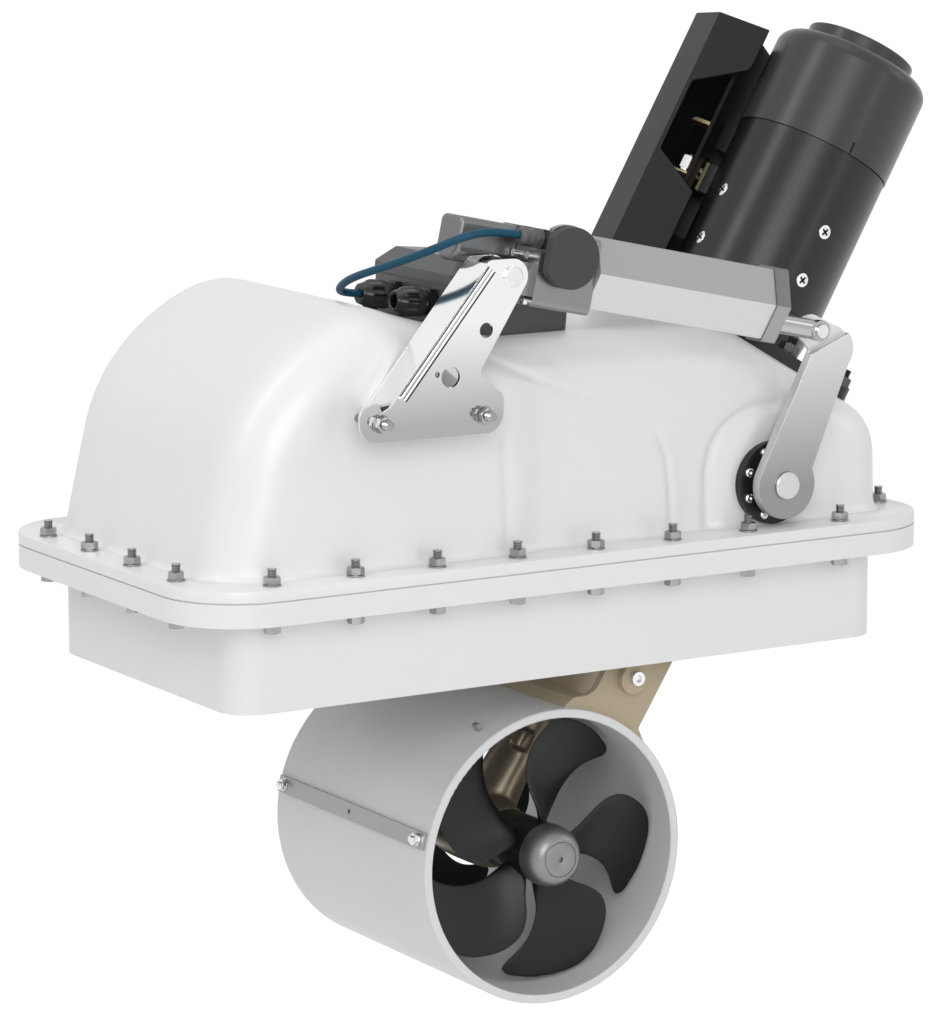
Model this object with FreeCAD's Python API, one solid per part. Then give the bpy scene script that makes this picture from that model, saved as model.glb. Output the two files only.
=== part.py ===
import FreeCAD, Part
import math
import os

os.makedirs("parts", exist_ok=True)

# Millimetres. The origin is the centre of the hull rim, the lower face of the base frame.
# X runs along the boat well towards the motor end, -Y is the lever side and Z is up.

V = FreeCAD.Vector

# Base frame and flange joint
SKIRT_LENGTH = 666.0
SKIRT_WIDTH = 332.0
SKIRT_CORNER = 30.0
SKIRT_WALL = 8.0
SKIRT_HEIGHT = 81.5
FLANGE_LENGTH = 760.0
FLANGE_WIDTH = 400.0
FLANGE_CORNER = 72.0
BASE_FLANGE = 20.0
SEAL = 1.0
COVER_FLANGE = 10.0
SEAL_BOTTOM = SKIRT_HEIGHT + BASE_FLANGE
COVER_BOTTOM = SEAL_BOTTOM + SEAL
FLANGE_TOP = COVER_BOTTOM + COVER_FLANGE

# Flange fasteners, M8
BOLT_R = 4.0
HOLE_GAP = 0.5
NUT_FLATS = 13.0
NUT_HEIGHT = 6.5
HEAD_HEIGHT = 5.3
WASHER_R = 8.0
WASHER = 1.6
BOLT_TIP = 14.4
END_BOLT_X = 362.5
SIDE_BOLT_Y = 181.0
BOLT_PITCH = 80.0

# Dome of the housing cover
DOME_WALL = 6.0
HUMP_HALF_WIDTH = 166.0
HUMP_EDGE = 55.0
REAR_HALF_WIDTH = 154.0
REAR_EDGE = 40.0
PANEL_RISE = 4.0
STEP_X = -55.0
STEP_END = -15.0

# Pivot and leg
PIVOT_X = 213.0
PIVOT_Z = 150.5
LEG_TILT = 33.0
LEG_LENGTH = 384.0
RETRACT = 60.0
BOSS_FACE = 159.0
PIVOT_FLANGE_R = 37.0
PIVOT_FLANGE = 8.0
FLANGE_SCREW_R = 30.0
AXLE_R = 12.5
BUSH_R = 16.0
COLLAR_R = 19.0
SHAFT_GAP = 0.05
LEVER_BACK = 176.0
LEVER = 10.0
LOBE = 4.0

# Motor
MOTOR_TILT = 30.0
SEAT = 106.0
MOTOR_R = 73.0
PLATE = 12.0
CAN_BOTTOM = 160.0
CAP_JOINT = 312.0
CAP_SHOULDER = 410.0
DISC_TOP = 423.0

# Actuator, from the bracket pin to the lever pin
BRACKET_PIN_X = -84.0
BRACKET_PIN_Z = 358.0
ACTUATOR_Y = -187.0
LEVER_RADIUS = 140.0
LEVER_ANGLE = 11.5
ROD_R = 8.75
PIN_R = 9.0

# Tunnel and drive
TUNNEL_R = 133.0
TUNNEL_BORE = 125.0
TUNNEL_LENGTH = 265.0
HUB_R = 28.0
PROP_R = 121.0
BLADES = 5
PITCH = 170.0
SHAFT_R = 10.0
PROP_SHAFT_R = 8.0


def export(name, shapes):
    """Write one node, a solid or a group of solids."""
    if not isinstance(shapes, list):
        shapes = [shapes]
    solids = []
    for shape in shapes:
        solids += shape.Solids
    result = solids[0] if len(solids) == 1 else Part.makeCompound(solids)
    result.exportStep("parts/" + name + ".step")
    print(name, len(solids), "solids", round(sum(s.Volume for s in solids) / 1000, 1), "cm3")


def union(shapes):
    """Fuse a list of shapes into one."""
    result = shapes[0].multiFuse(shapes[1:]) if len(shapes) > 1 else shapes[0]
    return result.removeSplitter()


def cylinder(r, start, end):
    """Round bar from one point to another."""
    axis = V(*end) - V(*start)
    return Part.makeCylinder(r, axis.Length, V(*start), axis)


def ring(r, bore, start, end):
    """Round bar with a bore through it."""
    return cylinder(r, start, end).cut(cylinder(bore, start, end))


def disc_y(x, z, r, y0, y1):
    """Disc across the Y axis."""
    return cylinder(r, (x, y0, z), (x, y1, z))


def prism_y(points, y0, y1):
    """Outline in the XZ plane carried along Y."""
    corners = [V(x, y0, z) for x, z in points]
    return Part.Face(Part.makePolygon(corners + corners[:1])).extrude(V(0, y1 - y0, 0))


def prism_x(points, x0, x1):
    """Outline in the YZ plane carried along X."""
    corners = [V(x0, y, z) for y, z in points]
    return Part.Face(Part.makePolygon(corners + corners[:1])).extrude(V(x1 - x0, 0, 0))


def prism_z(points, z0, z1):
    """Outline in the XY plane carried along Z."""
    corners = [V(x, y, z0) for x, y in points]
    return Part.Face(Part.makePolygon(corners + corners[:1])).extrude(V(0, 0, z1 - z0))


def box(x0, x1, y0, y1, z0, z1):
    """Box between two corners."""
    return Part.makeBox(x1 - x0, y1 - y0, z1 - z0, V(x0, y0, z0))


def rounded_prism(length, width, corner, z0, z1):
    """Upright block on the origin with rounded vertical edges."""
    block = box(-length / 2, length / 2, -width / 2, width / 2, z0, z1)
    edges = [e for e in block.Edges if abs(e.tangentAt(e.FirstParameter).z) > 0.99]
    return block.makeFillet(corner, edges)


def hexagon(flats, start, end, turn=0.0):
    """Hexagon bar from one point to another."""
    axis = V(*end) - V(*start)
    corner = flats / 2 / math.cos(math.pi / 6)
    points = []
    for i in range(7):
        angle = math.radians(60 * i + turn)
        points.append(V(corner * math.cos(angle), corner * math.sin(angle), 0))
    bar = Part.Face(Part.makePolygon(points)).extrude(V(0, 0, axis.Length))
    bar.Placement = FreeCAD.Placement(V(*start), FreeCAD.Rotation(V(0, 0, 1), axis))
    return bar


def moved(shape, x, y, z, tilt=0.0):
    """Turn a shape about Y through its own origin, then move it."""
    result = shape.copy()
    turn = FreeCAD.Rotation(V(0, 1, 0), tilt)
    result.Placement = FreeCAD.Placement(V(x, y, z), turn).multiply(shape.Placement)
    return result


def on_motor(shape):
    """Place a shape built with the motor axis upright."""
    return moved(shape, PIVOT_X, 0, PIVOT_Z, MOTOR_TILT)


def on_leg(shape):
    """Place a shape built with the leg hanging straight down from the pivot."""
    return moved(shape, PIVOT_X, 0, PIVOT_Z, LEG_TILT)


def rounded_outline(corners):
    """Closed wire in the XZ plane through (x, z, radius) corners."""
    count = len(corners)
    ends = []
    for i in range(count):
        p = V(corners[i][0], 0, corners[i][1])
        a = V(corners[i - 1][0], 0, corners[i - 1][1]) - p
        b = V(corners[(i + 1) % count][0], 0, corners[(i + 1) % count][1]) - p
        r = corners[i][2]
        if r == 0:
            ends.append((p, None, p))
            continue
        half = a.getAngle(b) / 2
        reach = r / math.tan(half)
        a.normalize()
        b.normalize()
        middle = (a + b).normalize()
        centre = p + middle * (r / math.sin(half))
        ends.append((p + a * reach, centre - middle * r, p + b * reach))
    edges = []
    for i in range(count):
        start, mid, stop = ends[i]
        if mid is not None:
            edges.append(Part.Arc(start, mid, stop).toShape())
        following = ends[(i + 1) % count][0]
        if (following - stop).Length > 1e-6:
            edges.append(Part.LineSegment(stop, following).toShape())
    return Part.Wire(edges)


# Housing: dome, base frame and flange joint

def seat_height(x):
    """Height of the sloped motor seat at a given X."""
    slope = math.radians(MOTOR_TILT)
    seat_x = PIVOT_X + SEAT * math.sin(slope)
    seat_z = PIVOT_Z + SEAT * math.cos(slope)
    return seat_z - (x - seat_x) * math.tan(slope)


HUMP_SLOPE = math.radians(14.6)
HUMP_FOOT_X = -48.0
FLAT_TOP = 293.0
DOME_LEFT = -336.0
DOME_RIGHT = 350.0


def hump_height(x):
    """Height of the falling line from the hump to the flat top."""
    return FLAT_TOP + (HUMP_FOOT_X - x) * math.tan(HUMP_SLOPE)


def dome_piece(corners, inset, half_width, edge):
    """Moulded block: a side outline carried across, with its side edges rounded."""
    wire = rounded_outline(corners)
    face = Part.Face(wire)
    if inset > 0:
        face = Part.Face(face.makeOffset2D(-inset, 0).Wires[0])
    half = half_width - inset
    face.translate(V(0, -half, 0))
    block = face.extrude(V(0, 2 * half, 0))
    bottom = corners[0][1] + inset
    edges = []
    for e in block.Edges:
        ends = [v.Point for v in e.Vertexes]
        across = any(abs(abs(p.y) - half) > 0.01 for p in ends)
        low = all(abs(p.z - bottom) < 0.01 for p in ends)
        inner_end = all(abs(p.x - ends[0].x) < 0.01 and abs(p.x - cut_x(corners, inset)) < 0.01 for p in ends)
        if not across and not low and not inner_end:
            edges.append(e)
    return block.makeFillet(edge - inset, edges)


def cut_x(corners, inset):
    """X of the side of the block that is buried in its neighbour."""
    xs = [c[0] for c in corners]
    return max(xs) - inset if min(xs) < -200 else min(xs) + inset


def hump(inset, bottom):
    """Left end of the dome, over the raised tunnel. Its sides slant in at the right."""
    corners = [
        (STEP_END, bottom, 0),
        (STEP_END, FLAT_TOP, 0),
        (HUMP_FOOT_X, FLAT_TOP, 80),
        (DOME_LEFT + 7, hump_height(DOME_LEFT + 7), 126),
        (DOME_LEFT, bottom, 0),
    ]
    block = dome_piece(corners, inset, HUMP_HALF_WIDTH, HUMP_EDGE)
    near, far = HUMP_HALF_WIDTH - inset, REAR_HALF_WIDTH - inset - 0.5
    slant = [(STEP_X, near), (STEP_END, far), (STEP_END, near + 10), (STEP_X, near + 10)]
    return block.cut(both_sides(prism_z(slant, 0, 400)))


def motor_end(inset, bottom, half_width=REAR_HALF_WIDTH, edge=REAR_EDGE):
    """Right end of the dome, with the sloped motor seat."""
    inside = STEP_X - 40
    seat_start = DOME_RIGHT - (FLAT_TOP - seat_height(DOME_RIGHT)) / math.tan(math.radians(MOTOR_TILT))
    corners = [
        (inside, bottom, 0),
        (DOME_RIGHT + 2, bottom, 0),
        (DOME_RIGHT, seat_height(DOME_RIGHT), 50),
        (seat_start, FLAT_TOP, 60),
        (HUMP_FOOT_X, FLAT_TOP, 80),
        (inside, hump_height(inside), 0),
    ]
    return dome_piece(corners, inset, half_width, edge)


def both_sides(shape):
    """A shape and its mirror image across the XZ plane."""
    return [shape, shape.mirror(V(0, 0, 0), V(0, 1, 0))]


def flange_places():
    """Plan positions of the flange bolts."""
    places = []
    for x in (-END_BOLT_X, END_BOLT_X):
        for y in (-1.5, -0.5, 0.5, 1.5):
            places.append((x, y * BOLT_PITCH))
    for y in (-SIDE_BOLT_Y, SIDE_BOLT_Y):
        for i in range(7):
            places.append((-305 + i * BOLT_PITCH, y))
        places.append((275, y))
    return places


def bolt_holes(z0, z1):
    """Clearance holes of the flange joint."""
    return [cylinder(BOLT_R + HOLE_GAP, (x, y, z0), (x, y, z1)) for x, y in flange_places()]


def base_frame():
    """Boat side frame: a skirt with a broad flange round its top."""
    skirt = rounded_prism(SKIRT_LENGTH, SKIRT_WIDTH, SKIRT_CORNER, 0, SEAL_BOTTOM)
    flange = rounded_prism(FLANGE_LENGTH, FLANGE_WIDTH, FLANGE_CORNER, SKIRT_HEIGHT, SEAL_BOTTOM)
    corner = SKIRT_CORNER - SKIRT_WALL
    well = rounded_prism(SKIRT_LENGTH - 2 * SKIRT_WALL, SKIRT_WIDTH - 2 * SKIRT_WALL, corner, -1, 110)
    return union([skirt, flange]).cut([well] + bolt_holes(SKIRT_HEIGHT - 1, SEAL_BOTTOM + 1))


def flange_seal():
    """Seal between the two flanges."""
    sheet = rounded_prism(FLANGE_LENGTH - 4, FLANGE_WIDTH - 4, FLANGE_CORNER - 2, SEAL_BOTTOM, COVER_BOTTOM)
    well = rounded_prism(SKIRT_LENGTH - 8, SKIRT_WIDTH - 4, SKIRT_CORNER, SEAL_BOTTOM - 1, COVER_BOTTOM + 1)
    return sheet.cut([well] + bolt_holes(SEAL_BOTTOM - 1, COVER_BOTTOM + 1))


def side_panel():
    """Raised panel on the lever side wall, bounded by the curved crease."""
    outline = [
        (STEP_X - 30, 100), (STEP_X - 30, 292), (-50, 276), (25, 240), (82, 214), (104, 198), (113, 170), (116, 100),
    ]
    thick = motor_end(0, 105, REAR_HALF_WIDTH + PANEL_RISE, REAR_EDGE + PANEL_RISE)
    return thick.common(prism_y(outline, -200, -110))


def pivot_boss():
    """Arched boss on the side wall round the pivot."""
    x = PIVOT_X + 10
    r = 64
    round_end = disc_y(x, PIVOT_Z, r, -BOSS_FACE, -120).common(box(x - 100, x + 100, -200, -100, PIVOT_Z, 300))
    arch = union([round_end, box(x - r, x + r, -BOSS_FACE, -120, 105, PIVOT_Z)])
    edges = []
    for e in arch.Edges:
        on_face = all(abs(v.Y + BOSS_FACE) < 0.01 for v in e.Vertexes)
        if on_face and any(v.Z > 106 for v in e.Vertexes):
            edges.append(e)
    return arch.makeFillet(4, edges)


def housing_cover():
    """One piece cover: flange, hump, motor end, panel and pivot bosses."""
    flange = rounded_prism(FLANGE_LENGTH, FLANGE_WIDTH, FLANGE_CORNER, COVER_BOTTOM, FLANGE_TOP)
    shapes = [hump(0, 105), motor_end(0, 105), side_panel(), flange] + both_sides(pivot_boss())
    outer = union(shapes)
    inner = hump(DOME_WALL, 80).fuse(motor_end(DOME_WALL, 80))
    well = rounded_prism(SKIRT_LENGTH - 2 * SKIRT_WALL, REAR_HALF_WIDTH * 2 - 2 * DOME_WALL, 20, 90, 150)
    holes = bolt_holes(COVER_BOTTOM - 1, FLANGE_TOP + 1)
    holes.append(disc_y(PIVOT_X, PIVOT_Z, BUSH_R + 0.5, -200, 200))
    holes.append(on_motor(cylinder(26, (0, 0, SEAT - 20), (0, 0, SEAT + 20))))
    for u, v in motor_stud_places():
        holes.append(on_motor(cylinder(5, (u, v, SEAT - 20), (u, v, SEAT + 20))))
    for x, z in bracket_studs():
        holes.append(disc_y(x, z, BOLT_R, -HUMP_HALF_WIDTH - 5, -120))
    return outer.cut([inner, well] + holes + screw_cut())


def flange_bolts():
    """Hexagon bolts pushed up from below."""
    bolts = []
    for x, y in flange_places():
        head = hexagon(NUT_FLATS, (x, y, SKIRT_HEIGHT - HEAD_HEIGHT), (x, y, SKIRT_HEIGHT))
        shank = cylinder(BOLT_R, (x, y, SKIRT_HEIGHT - 1), (x, y, FLANGE_TOP + BOLT_TIP))
        bolts.append(union([head, shank]))
    return bolts


def flange_washers():
    """Plain washers under the nuts."""
    base = FLANGE_TOP
    return [ring(WASHER_R, BOLT_R + SHAFT_GAP, (x, y, base), (x, y, base + WASHER)) for x, y in flange_places()]


def flange_nuts():
    """Hexagon nuts on the washers."""
    nuts = []
    base = FLANGE_TOP + WASHER
    for x, y in flange_places():
        nut = hexagon(NUT_FLATS, (x, y, base), (x, y, base + NUT_HEIGHT))
        nuts.append(nut.cut(cylinder(BOLT_R + SHAFT_GAP, (x, y, base - 1), (x, y, base + 10))))
    return nuts


# Pivots

def flange_screw_places():
    """Screw circle of a pivot flange."""
    places = []
    for i in range(8):
        angle = math.radians(22.5 + 45 * i)
        places.append((PIVOT_X + FLANGE_SCREW_R * math.cos(angle), PIVOT_Z + FLANGE_SCREW_R * math.sin(angle)))
    return places


def pivot_flange(side):
    """Bolted bearing flange of one pivot. The far one is closed by a cap."""
    face = side * BOSS_FACE
    outer = side * (BOSS_FACE + PIVOT_FLANGE)
    inner = side * (REAR_HALF_WIDTH - DOME_WALL)
    body = union([disc_y(PIVOT_X, PIVOT_Z, PIVOT_FLANGE_R, face, outer), disc_y(PIVOT_X, PIVOT_Z, BUSH_R, inner, outer)])
    cuts = [disc_y(x, z, 2.5, side * 140, side * 200) for x, z in flange_screw_places()]
    if side < 0:
        cuts.append(disc_y(PIVOT_X, PIVOT_Z, AXLE_R + SHAFT_GAP, side * 140, side * 200))
        return body.cut(cuts)
    cap = disc_y(PIVOT_X, PIVOT_Z, 20, outer, outer + side * 5)
    cuts.append(disc_y(PIVOT_X, PIVOT_Z, AXLE_R + SHAFT_GAP, side * 140, outer))
    return union([body, cap]).cut(cuts)


def pivot_screws():
    """Pan head screws of both pivot flanges."""
    screws = []
    for side in (-1, 1):
        face = side * (BOSS_FACE + PIVOT_FLANGE)
        for x, z in flange_screw_places():
            head = disc_y(x, z, 4.4, face, face + side * 2.6)
            shank = disc_y(x, z, 2.5, face + side, face - side * 12)
            slot = hexagon(3, (x, face + side * 1.2, z), (x, face + side * 4, z))
            screws.append(union([head, shank]).cut(slot))
    return screws


def screw_cut():
    """Threaded holes for the pivot flange screws in the cover bosses."""
    holes = []
    for side in (-1, 1):
        for x, z in flange_screw_places():
            holes.append(disc_y(x, z, 2.5, side * (BOSS_FACE + 1), side * (BOSS_FACE - 4)))
    return holes


LEVER_X = LEVER_RADIUS * math.sin(math.radians(LEVER_ANGLE))
LEVER_Z = LEVER_RADIUS * math.cos(math.radians(LEVER_ANGLE))


def lever():
    """Thick steel lever, thinned at its top behind the rod end."""
    front = -LEVER_BACK - LEVER
    lobe_front = -LEVER_BACK - LOBE
    x, z = PIVOT_X, PIVOT_Z
    outline = [(x - 26.5, z + 14), (x + 30, z + 125), (x + 68.5, z + 111), (x + 25, z + 8)]
    body = union([
        disc_y(x, z, 30, front, -LEVER_BACK),
        prism_y(outline, front, -LEVER_BACK),
        disc_y(x + 49, z + 118, 21.5, front, -LEVER_BACK),
    ])
    above = [(x + 10, z + 109.5), (x + 90, z + 141), (x + 90, z + 190), (x + 10, z + 190)]
    body = body.cut(prism_y(above, front - 1, lobe_front))
    pin_x, pin_z = x + LEVER_X, z + LEVER_Z
    join = [(pin_x - 12, pin_z - 4), (pin_x + 4, pin_z + 12.2), (x + 55, z + 138.5), (x + 40, z + 100)]
    eye = [disc_y(pin_x, pin_z, 13, lobe_front, -LEVER_BACK), prism_y(join, lobe_front, -LEVER_BACK)]
    eye.append(disc_y(pin_x, pin_z, 8.5, front, -LEVER_BACK))
    return union([body] + eye).cut(disc_y(x, z, AXLE_R, front - 1, -LEVER_BACK + 1))


def front_axle():
    """Stub axle through the front wall, carrying the lever and the front arm."""
    tip = -LEVER_BACK - LEVER - 3
    bar = disc_y(PIVOT_X, PIVOT_Z, AXLE_R, tip, -ARM_BACK)
    edges = [e for e in bar.Edges if len(e.Vertexes) == 1 and abs(e.Vertexes[0].Y - tip) < 0.01]
    return bar.makeChamfer(1.0, edges)


def rear_axle():
    """Stub axle in the far wall."""
    return disc_y(PIVOT_X, PIVOT_Z, AXLE_R, ARM_BACK, BOSS_FACE + PIVOT_FLANGE - 0.5)


def axle_collar():
    """Spacing collar between the front flange and the lever."""
    inner = -BOSS_FACE - PIVOT_FLANGE - 0.3
    return disc_y(PIVOT_X, PIVOT_Z, COLLAR_R, -LEVER_BACK, inner).cut(disc_y(PIVOT_X, PIVOT_Z, AXLE_R, -190, -150))


# Swinging leg, built hanging straight down from the pivot

ARM_BACK = 125.0
ARM = 8.0
FLOOR_TOP = -LEG_LENGTH + 139.0
NECK_R = 24.0
NECK_TOP = -LEG_LENGTH + 146.0
COLUMN_R = 40.0
STEM_R = 22.0
FORK_BASE = 24.0


def above(rise):
    """Height in the leg's frame of a point above the tunnel axis."""
    return rise - LEG_LENGTH


def tunnel_solid(r, half=TUNNEL_LENGTH / 2 + 1):
    """Round bar on the tunnel axis."""
    return disc_y(0, -LEG_LENGTH, r, -half, half)


def swing_arms():
    """Two steel arms from the stub axles to the cradle cheeks."""
    outer = -ARM_BACK - ARM
    outline = [(-28, 0), (28, 0), (1, above(172)), (-25, above(172))]
    arm = union([
        disc_y(0, 0, 28, outer, -ARM_BACK),
        prism_y(outline, outer, -ARM_BACK),
        disc_y(-12, above(172), 13, outer, -ARM_BACK),
    ])
    cuts = [disc_y(0, 0, AXLE_R, outer - 1, -ARM_BACK + 1)]
    cuts += [disc_y(x, z, 4, outer - 1, -ARM_BACK + 1) for x, z in arm_bolt_places()]
    return [on_leg(a) for a in both_sides(arm.cut(cuts))]


def arm_bolt_places():
    """Bolts that hold each arm to its cheek."""
    return [(-12, above(174)), (-12, above(196)), (-12, above(218))]


def arm_bolts():
    """Cap screws through the arms into the cheeks."""
    bolts = []
    outer = -ARM_BACK - ARM
    for x, z in arm_bolt_places():
        head = disc_y(x, z, 6.5, outer - 6, outer)
        shank = disc_y(x, z, 4, outer - 1, -ARM_BACK + 6)
        socket = hexagon(6, (x, outer - 7, z), (x, outer - 3, z))
        bolts += both_sides(union([head, shank]).cut(socket))
    return [on_leg(b) for b in bolts]


def cradle():
    """Painted cradle: two cheeks and a floor that sits on the tunnel."""
    back = -ARM_BACK
    front = back + 8
    foot = [(42, above(125)), (42, above(106)), (-62, above(106)), (-59, above(122)), (-55, above(131))]
    cheek = [(-38, above(234)), (21, above(234)), (22, above(138))]
    cheek += foot + [(-44, above(138)), (-38, above(148))]
    floor = [(22, above(138))] + foot + [(-44, above(139)), (22, above(139))]
    shapes = both_sides(prism_y(cheek, back, front))
    shapes.append(prism_y(floor, back + 1, -back - 1))
    shapes.append(cylinder(42, (0, 0, above(109)), (0, 0, FLOOR_TOP)))
    cuts = [tunnel_solid(TUNNEL_R), cylinder(NECK_R + 0.5, (0, 0, above(84)), (0, 0, above(184)))]
    for x, z in arm_bolt_places():
        cuts += both_sides(disc_y(x, z, 4, back - 1, back + 6))
    return on_leg(union(shapes).cut(cuts))


def leg_column():
    """Column that carries the drive shaft from the cradle floor to the pivot."""
    base = cylinder(COLUMN_R, (0, 0, FLOOR_TOP), (0, 0, above(179)))
    cone = Part.makeCone(COLUMN_R, STEM_R, 50, V(0, 0, above(179)))
    stem = cylinder(STEM_R, (0, 0, above(228)), (0, 0, -52))
    cuts = [
        cylinder(NECK_R, (0, 0, FLOOR_TOP - 1), (0, 0, NECK_TOP)),
        cylinder(14, (0, 0, above(134)), (0, 0, -40)),
    ]
    return on_leg(union([base, cone, stem]).cut(cuts))


def tunnel():
    """Round thruster tunnel with an opening for the gear leg."""
    half = TUNNEL_LENGTH / 2
    tube = ring(TUNNEL_R, TUNNEL_BORE, (0, -half, -LEG_LENGTH), (0, half, -LEG_LENGTH))
    edges = [e for e in tube.Edges if len(e.Vertexes) == 1]
    tube = tube.makeFillet(1.5, edges)
    cuts = [cylinder(NECK_R + 0.5, (0, 0, -LEG_LENGTH), (0, 0, above(184)))]
    return on_leg(tube.cut(cuts))


STRAP_ANGLE = 167.0
STRAP_WIDTH = 15.0
STRAP = 3.0


def on_flank(shape):
    """Place a shape built on the tunnel's top on to its flank. World axes."""
    x = PIVOT_X - LEG_LENGTH * math.sin(math.radians(LEG_TILT))
    z = PIVOT_Z - LEG_LENGTH * math.cos(math.radians(LEG_TILT))
    return moved(shape, x, 0, z, 90 - STRAP_ANGLE)


def tunnel_strap():
    """Flat bar along the tunnel's flank, bedded on the round wall."""
    half = TUNNEL_LENGTH / 2 - 4
    bar = box(-STRAP_WIDTH / 2, STRAP_WIDTH / 2, -half, half, TUNNEL_R - 2, TUNNEL_R + STRAP)
    cuts = [disc_y(0, 0, TUNNEL_R, -half - 1, half + 1), cylinder(2.1, (0, 0, 120), (0, 0, 140))]
    return on_flank(bar.cut(cuts))


def strap_bolts():
    """Nuts and stud ends at both ends of the flat bar."""
    bolts = []
    top = TUNNEL_R + STRAP
    for y in (-TUNNEL_LENGTH / 2 + 14, TUNNEL_LENGTH / 2 - 14):
        nut = hexagon(10, (0, y, top), (0, y, top + 5))
        tip = cylinder(3, (0, y, top), (0, y, top + 8))
        washer = cylinder(6, (0, y, top), (0, y, top + 1.2))
        bolts.append(on_flank(union([nut, tip, washer])))
    return bolts


def gear_leg():
    """Bronze gear leg: slim strut, round hub and the bearings of the shafts."""
    axis_z = -LEG_LENGTH
    hub = [(-50, HUB_R - 1), (-36, HUB_R + 3), (0, HUB_R + 5), (36, HUB_R + 3), (50, HUB_R - 1)]
    curve = Part.BSplineCurve()
    curve.interpolate([V(0, y, axis_z + r) for y, r in hub])
    start, stop = V(0, -50, axis_z), V(0, 50, axis_z)
    first, last = V(0, -50, axis_z + HUB_R - 1), V(0, 50, axis_z + HUB_R - 1)
    edges = [Part.LineSegment(start, first).toShape(), curve.toShape()]
    edges += [Part.LineSegment(last, stop).toShape(), Part.LineSegment(stop, start).toShape()]
    body = Part.Face(Part.Wire(edges)).revolve(start, V(0, 1, 0), 360)
    sections = []
    for z, a, b in ((axis_z + 8, 24, 30), (axis_z + 60, 20, 26), (axis_z + 100, 22, 27), (axis_z + 122, 33, 33)):
        ellipse = Part.Ellipse(V(0, 0, 0), max(a, b), min(a, b)).toShape()
        wire = Part.Wire([ellipse])
        wire.rotate(V(0, 0, 0), V(0, 0, 1), 90)
        wire.translate(V(0, 0, z))
        sections.append(wire)
    strut = Part.makeLoft(sections, True).common(tunnel_solid(TUNNEL_BORE))
    neck = cylinder(NECK_R, (0, 0, above(114)), (0, 0, NECK_TOP))
    pad = cylinder(33, (0, 0, above(116)), (0, 0, above(144))).common(tunnel_solid(TUNNEL_BORE))
    boss = cylinder(9, (-16, -24, axis_z + 78), (-16, -24, axis_z + 96))
    cuts = [
        cylinder(SHAFT_R + SHAFT_GAP, (0, 0, axis_z + 20), (0, 0, NECK_TOP + 1)),
        disc_y(0, axis_z, 19, -27, 27),
        cylinder(12, (0, 0, axis_z), (0, 0, axis_z + 34)),
        disc_y(0, axis_z, PROP_SHAFT_R + SHAFT_GAP, -60, 60),
    ]
    return on_leg(union([body, strut, pad, neck, boss]).cut(cuts))


# Rotating drive

def fork(sign, sphere_r):
    """Yoke of the universal joint at the pivot, along +Z or -Z."""
    base = cylinder(19, (0, 0, sign * FORK_BASE), (0, 0, sign * (FORK_BASE + 12)))
    ears = []
    for side in (-1, 1):
        ear = box(min(side * 13, side * 19), max(side * 13, side * 19), -8, 8, min(0, sign * 26), max(0, sign * 26))
        tip = cylinder(8, (side * 13, 0, 0), (side * 19, 0, 0))
        pin = cylinder(5, (side * 4, 0, 0), (side * 14, 0, 0))
        ears += [ear, tip, pin.cut(Part.makeSphere(sphere_r))]
    return union([base] + ears)


def motor_shaft():
    """Motor shaft with the upper yoke."""
    shaft = cylinder(SHAFT_R, (0, 0, FORK_BASE + 6), (0, 0, 200))
    return on_motor(union([shaft, fork(1, 10.0)]))


def joint_ball():
    """Centre block of the universal joint, a ball so that both yokes turn round it."""
    return on_motor(Part.makeSphere(10.0))


def bevel(r_in, r_out, depth, teeth, bore):
    """Straight bevel gear with its big end on the XY plane."""
    blank = Part.makeCone(r_out, r_in, depth)
    cuts = []
    for i in range(teeth):
        slot = box(r_in - 1.5, r_out + 4, -r_out * 0.055, r_out * 0.055, -1, depth + 1)
        slot.rotate(V(0, 0, 0), V(0, 1, 0), -math.degrees(math.atan2(r_out - r_in, depth)) * 0.5)
        slot.rotate(V(0, 0, 0), V(0, 0, 1), 360.0 * i / teeth)
        cuts.append(slot)
    if bore > 0:
        cuts.append(cylinder(bore, (0, 0, -1), (0, 0, depth + 1)))
    return blank.cut(cuts)


PINION_R = 9.0
GEAR_R = 15.0
FACE_WIDTH = 5.0


def leg_shaft():
    """Leg shaft with the lower yoke and the driving bevel pinion."""
    lower = fork(-1, 10.3)
    lower.rotate(V(0, 0, 0), V(0, 0, 1), 90)
    end = -LEG_LENGTH + GEAR_R
    shaft = cylinder(SHAFT_R, (0, 0, -FORK_BASE - 6), (0, 0, end + 8))
    neck = cylinder(7, (0, 0, end), (0, 0, end + 9))
    inner = PINION_R * (GEAR_R - FACE_WIDTH) / GEAR_R
    pinion = bevel(inner - 0.3, PINION_R - 0.3, FACE_WIDTH, 9, 0)
    pinion.rotate(V(0, 0, 0), V(1, 0, 0), 180)
    pinion.translate(V(0, 0, end))
    return on_leg(union([shaft, neck, lower, pinion]))


def prop_drive(side):
    """Propeller shaft with its driven bevel gear. Side -1 is the lever side."""
    inner = GEAR_R * (PINION_R - FACE_WIDTH * PINION_R / GEAR_R) / PINION_R
    width = FACE_WIDTH * PINION_R / GEAR_R
    gear = bevel(inner - 0.3, GEAR_R - 0.3, width, 15, 0)
    gear.rotate(V(0, 0, 0), V(1, 0, 0), side * 90)
    gear.translate(V(0, side * PINION_R, 0))
    shaft = disc_y(0, 0, PROP_SHAFT_R, side * PINION_R, side * 112)
    result = union([gear, shaft])
    result.translate(V(0, 0, -LEG_LENGTH))
    return on_leg(result)


BLADE_Y = -101.0
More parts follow.
